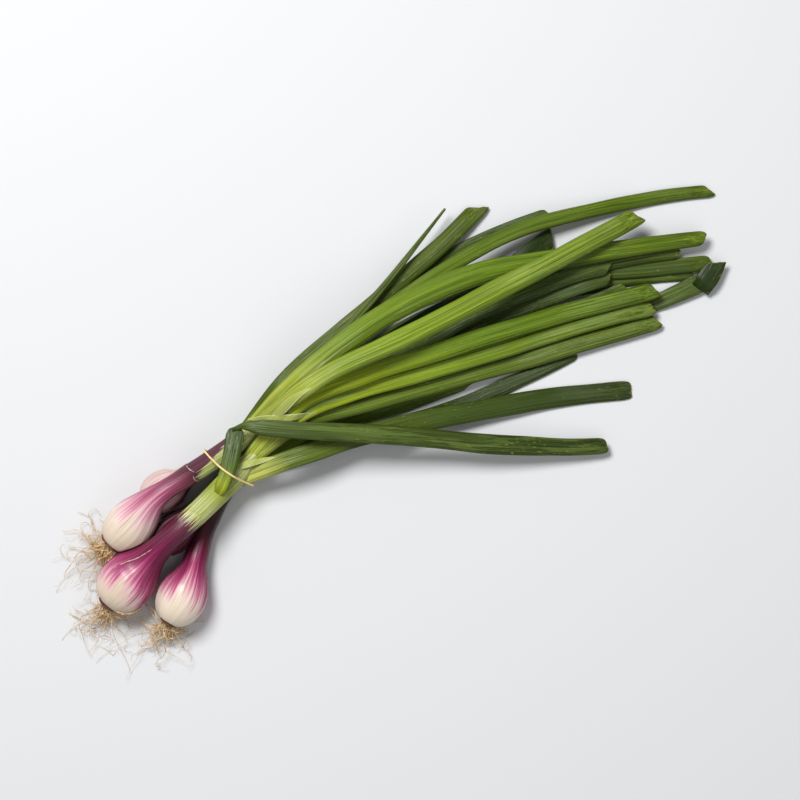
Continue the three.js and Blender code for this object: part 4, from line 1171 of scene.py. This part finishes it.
def make_band(held, material):
    """The taut band: the convex outline of everything in its plane, a little outside it."""
    run = np.array((math.cos(BAND_ANGLE), math.sin(BAND_ANGLE), 0))
    ahead = np.array((-run[1], run[0], 0))
    spots = np.concatenate([p.reshape(-1, 3) for p in held]) - BAND_MIDDLE
    near = spots[np.abs(spots @ ahead) < BAND_BOW + 1]
    turn = turns(RIM_CORNERS)
    rim = np.column_stack((np.cos(turn), np.sin(turn))) * (BAND_RADIUS + BAND_GAP)
    flat = np.column_stack((near @ run, near[:, 2]))
    corners = np.array(hull((flat[:, None] + rim[None]).reshape(-1, 2)))
    closed = np.vstack((corners, corners[:1]))
    reach = reach_of(closed)
    s = np.linspace(0, reach[-1], BAND_RINGS, endpoint=False)
    loop = np.stack([np.interp(s, reach, closed[:, k]) for k in (0, 1)], axis=1)
    for _ in range(2):
        loop = (np.roll(loop, 1, axis=0) + 2 * loop + np.roll(loop, -1, axis=0)) / 4
    share = 2 * (loop[:, 0] - loop[:, 0].min()) / np.ptp(loop[:, 0]) - 1
    bow = BAND_BOW * (1 - share ** 2) * smoothstep(loop[:, 1], *BOW_HEIGHTS)
    centres = BAND_MIDDLE + run * loop[:, :1] - ahead * bow[:, None]
    centres[:, 2] = np.maximum(loop[:, 1], BAND_RADIUS)
    out = unit(np.cross(np.roll(centres, -1, axis=0) - np.roll(centres, 1, axis=0), ahead))
    phi = turns(BAND_SIDES)
    points = rings(centres, out, np.broadcast_to(ahead, out.shape), BAND_RADIUS * np.cos(phi),
                   BAND_RADIUS * np.sin(phi))
    surface("rubber_band_ring", points, {"grain": points}, material, "rubber_band", closed=True)


# ---------- stage

PHOTO_TURN = math.radians(28)  # the bunch's long axis above the picture's right
PHOTO_COS, PHOTO_SIN = math.cos(PHOTO_TURN), math.sin(PHOTO_TURN)
PIXEL = 0.6  # millimetres of the bunch in one of the picture's 800 pixels
BAND_PIXEL = (230, 466)  # the plan's origin in the picture
PICTURE_MIDDLE = (400, 400)
PICTURE_WIDTH = 800

# From here on in metres, and lamps in watts.
BULB_LEVEL = 0.02
CAMERA_HEIGHT = 2.4  # above the level of the bulbs' middles
CAMERA_SIGHT = 20
SENSOR = 36  # in millimetres
FLOOR_REACH = 6
FLOOR_COLOUR = (214, 215, 217)
LAMP_HEIGHT = 1.6
KEY_LEFT, KEY_UP = 0.5, 0.75  # how far left and up in the picture the key lamp is
KEY_SIZE, FILL_SIZE = 0.7, 1.6
KEY_POWER, FILL_POWER = 36, 6
ROOM_LIGHT = 0.24


def make_camera():
    """A long lens straight above the bunch, turned as the photo is."""
    rightward = PIXEL * (PICTURE_MIDDLE[0] - BAND_PIXEL[0])
    upward = PIXEL * (BAND_PIXEL[1] - PICTURE_MIDDLE[1])
    x = rightward * PHOTO_COS + upward * PHOTO_SIN + SHIFT[0]
    y = upward * PHOTO_COS - rightward * PHOTO_SIN + SHIFT[1]
    camera = bpy.data.cameras.new("camera")
    camera.sensor_width = SENSOR
    camera.lens = SENSOR * CAMERA_HEIGHT / (PICTURE_WIDTH * PIXEL * MM)
    camera.clip_end = CAMERA_SIGHT
    holder = add_object("camera", camera)
    up = Vector((PHOTO_SIN, PHOTO_COS, 0))
    right = Vector((PHOTO_COS, -PHOTO_SIN, 0))
    look = Matrix((right, up, Vector((0, 0, 1)))).transposed().to_4x4()
    place = (x * MM, y * MM, CAMERA_HEIGHT + BULB_LEVEL)
    holder.matrix_world = Matrix.Translation(place) @ look
    bpy.context.scene.camera = holder


def make_floor():
    mesh = bpy.data.meshes.new("floor")
    corners = [(x * FLOOR_REACH, y * FLOOR_REACH, 0) for x, y in ((-1, -1), (1, -1), (1, 1), (-1, 1))]
    mesh.from_pydata(corners, [], [(0, 1, 2, 3)])
    material = bpy.data.materials.new("pale_floor")
    material.use_nodes = True
    shader = material.node_tree.nodes["Principled BSDF"]
    shader.inputs["Base Color"].default_value = linear(FLOOR_COLOUR)
    shader.inputs["Roughness"].default_value = 0.9
    shader.inputs["Specular IOR Level"].default_value = 0.1
    mesh.materials.append(material)
    floor = add_object("floor", mesh)


def add_lamp(name, place, size, power):
    """A round soft lamp, turned to the bunch."""
    light = bpy.data.lights.new(name, "AREA")
    light.shape = "DISK"
    light.size = size
    light.energy = power
    lamp = add_object(name, light)
    lamp.location = place
    lamp.rotation_euler = (-Vector(place)).to_track_quat("-Z", "Y").to_euler()


def make_light():
    """A soft key from the picture's upper left, a weak fill from the lower right, and a pale room."""
    x = PHOTO_SIN * KEY_UP - PHOTO_COS * KEY_LEFT
    y = PHOTO_SIN * KEY_LEFT + PHOTO_COS * KEY_UP
    add_lamp("key", (x, y, LAMP_HEIGHT), KEY_SIZE, KEY_POWER)
    add_lamp("fill", (-x, -y, LAMP_HEIGHT), FILL_SIZE, FILL_POWER)
    world = bpy.data.worlds.new("soft_room")
    world.use_nodes = True
    background = world.node_tree.nodes["Background"]
    background.inputs["Color"].default_value = (1, 1, 1, 1)
    background.inputs["Strength"].default_value = ROOM_LIGHT
    bpy.context.scene.world = world
    bpy.context.scene.view_settings.view_transform = "Standard"


# ---------- assembly

make_camera()
make_floor()
make_light()
lay_pile()
fibre_look = root_material()
leaf_looks = {look: leaf_material(look) for look in LEAF_LOOKS}
held = []
for name in ONIONS:
    make_bulb(name, skin_material(name))
    held.append(make_stem(name))
    make_roots(name, fibre_look)
for leaf in LEAVES:
    held.append(make_leaf(leaf, leaf_looks[leaf.look]))
sheath_look = sheath_material()
for sheath in SHEATHS:
    make_sheath(sheath, sheath_look)
make_shreds()
make_band(held, band_material())
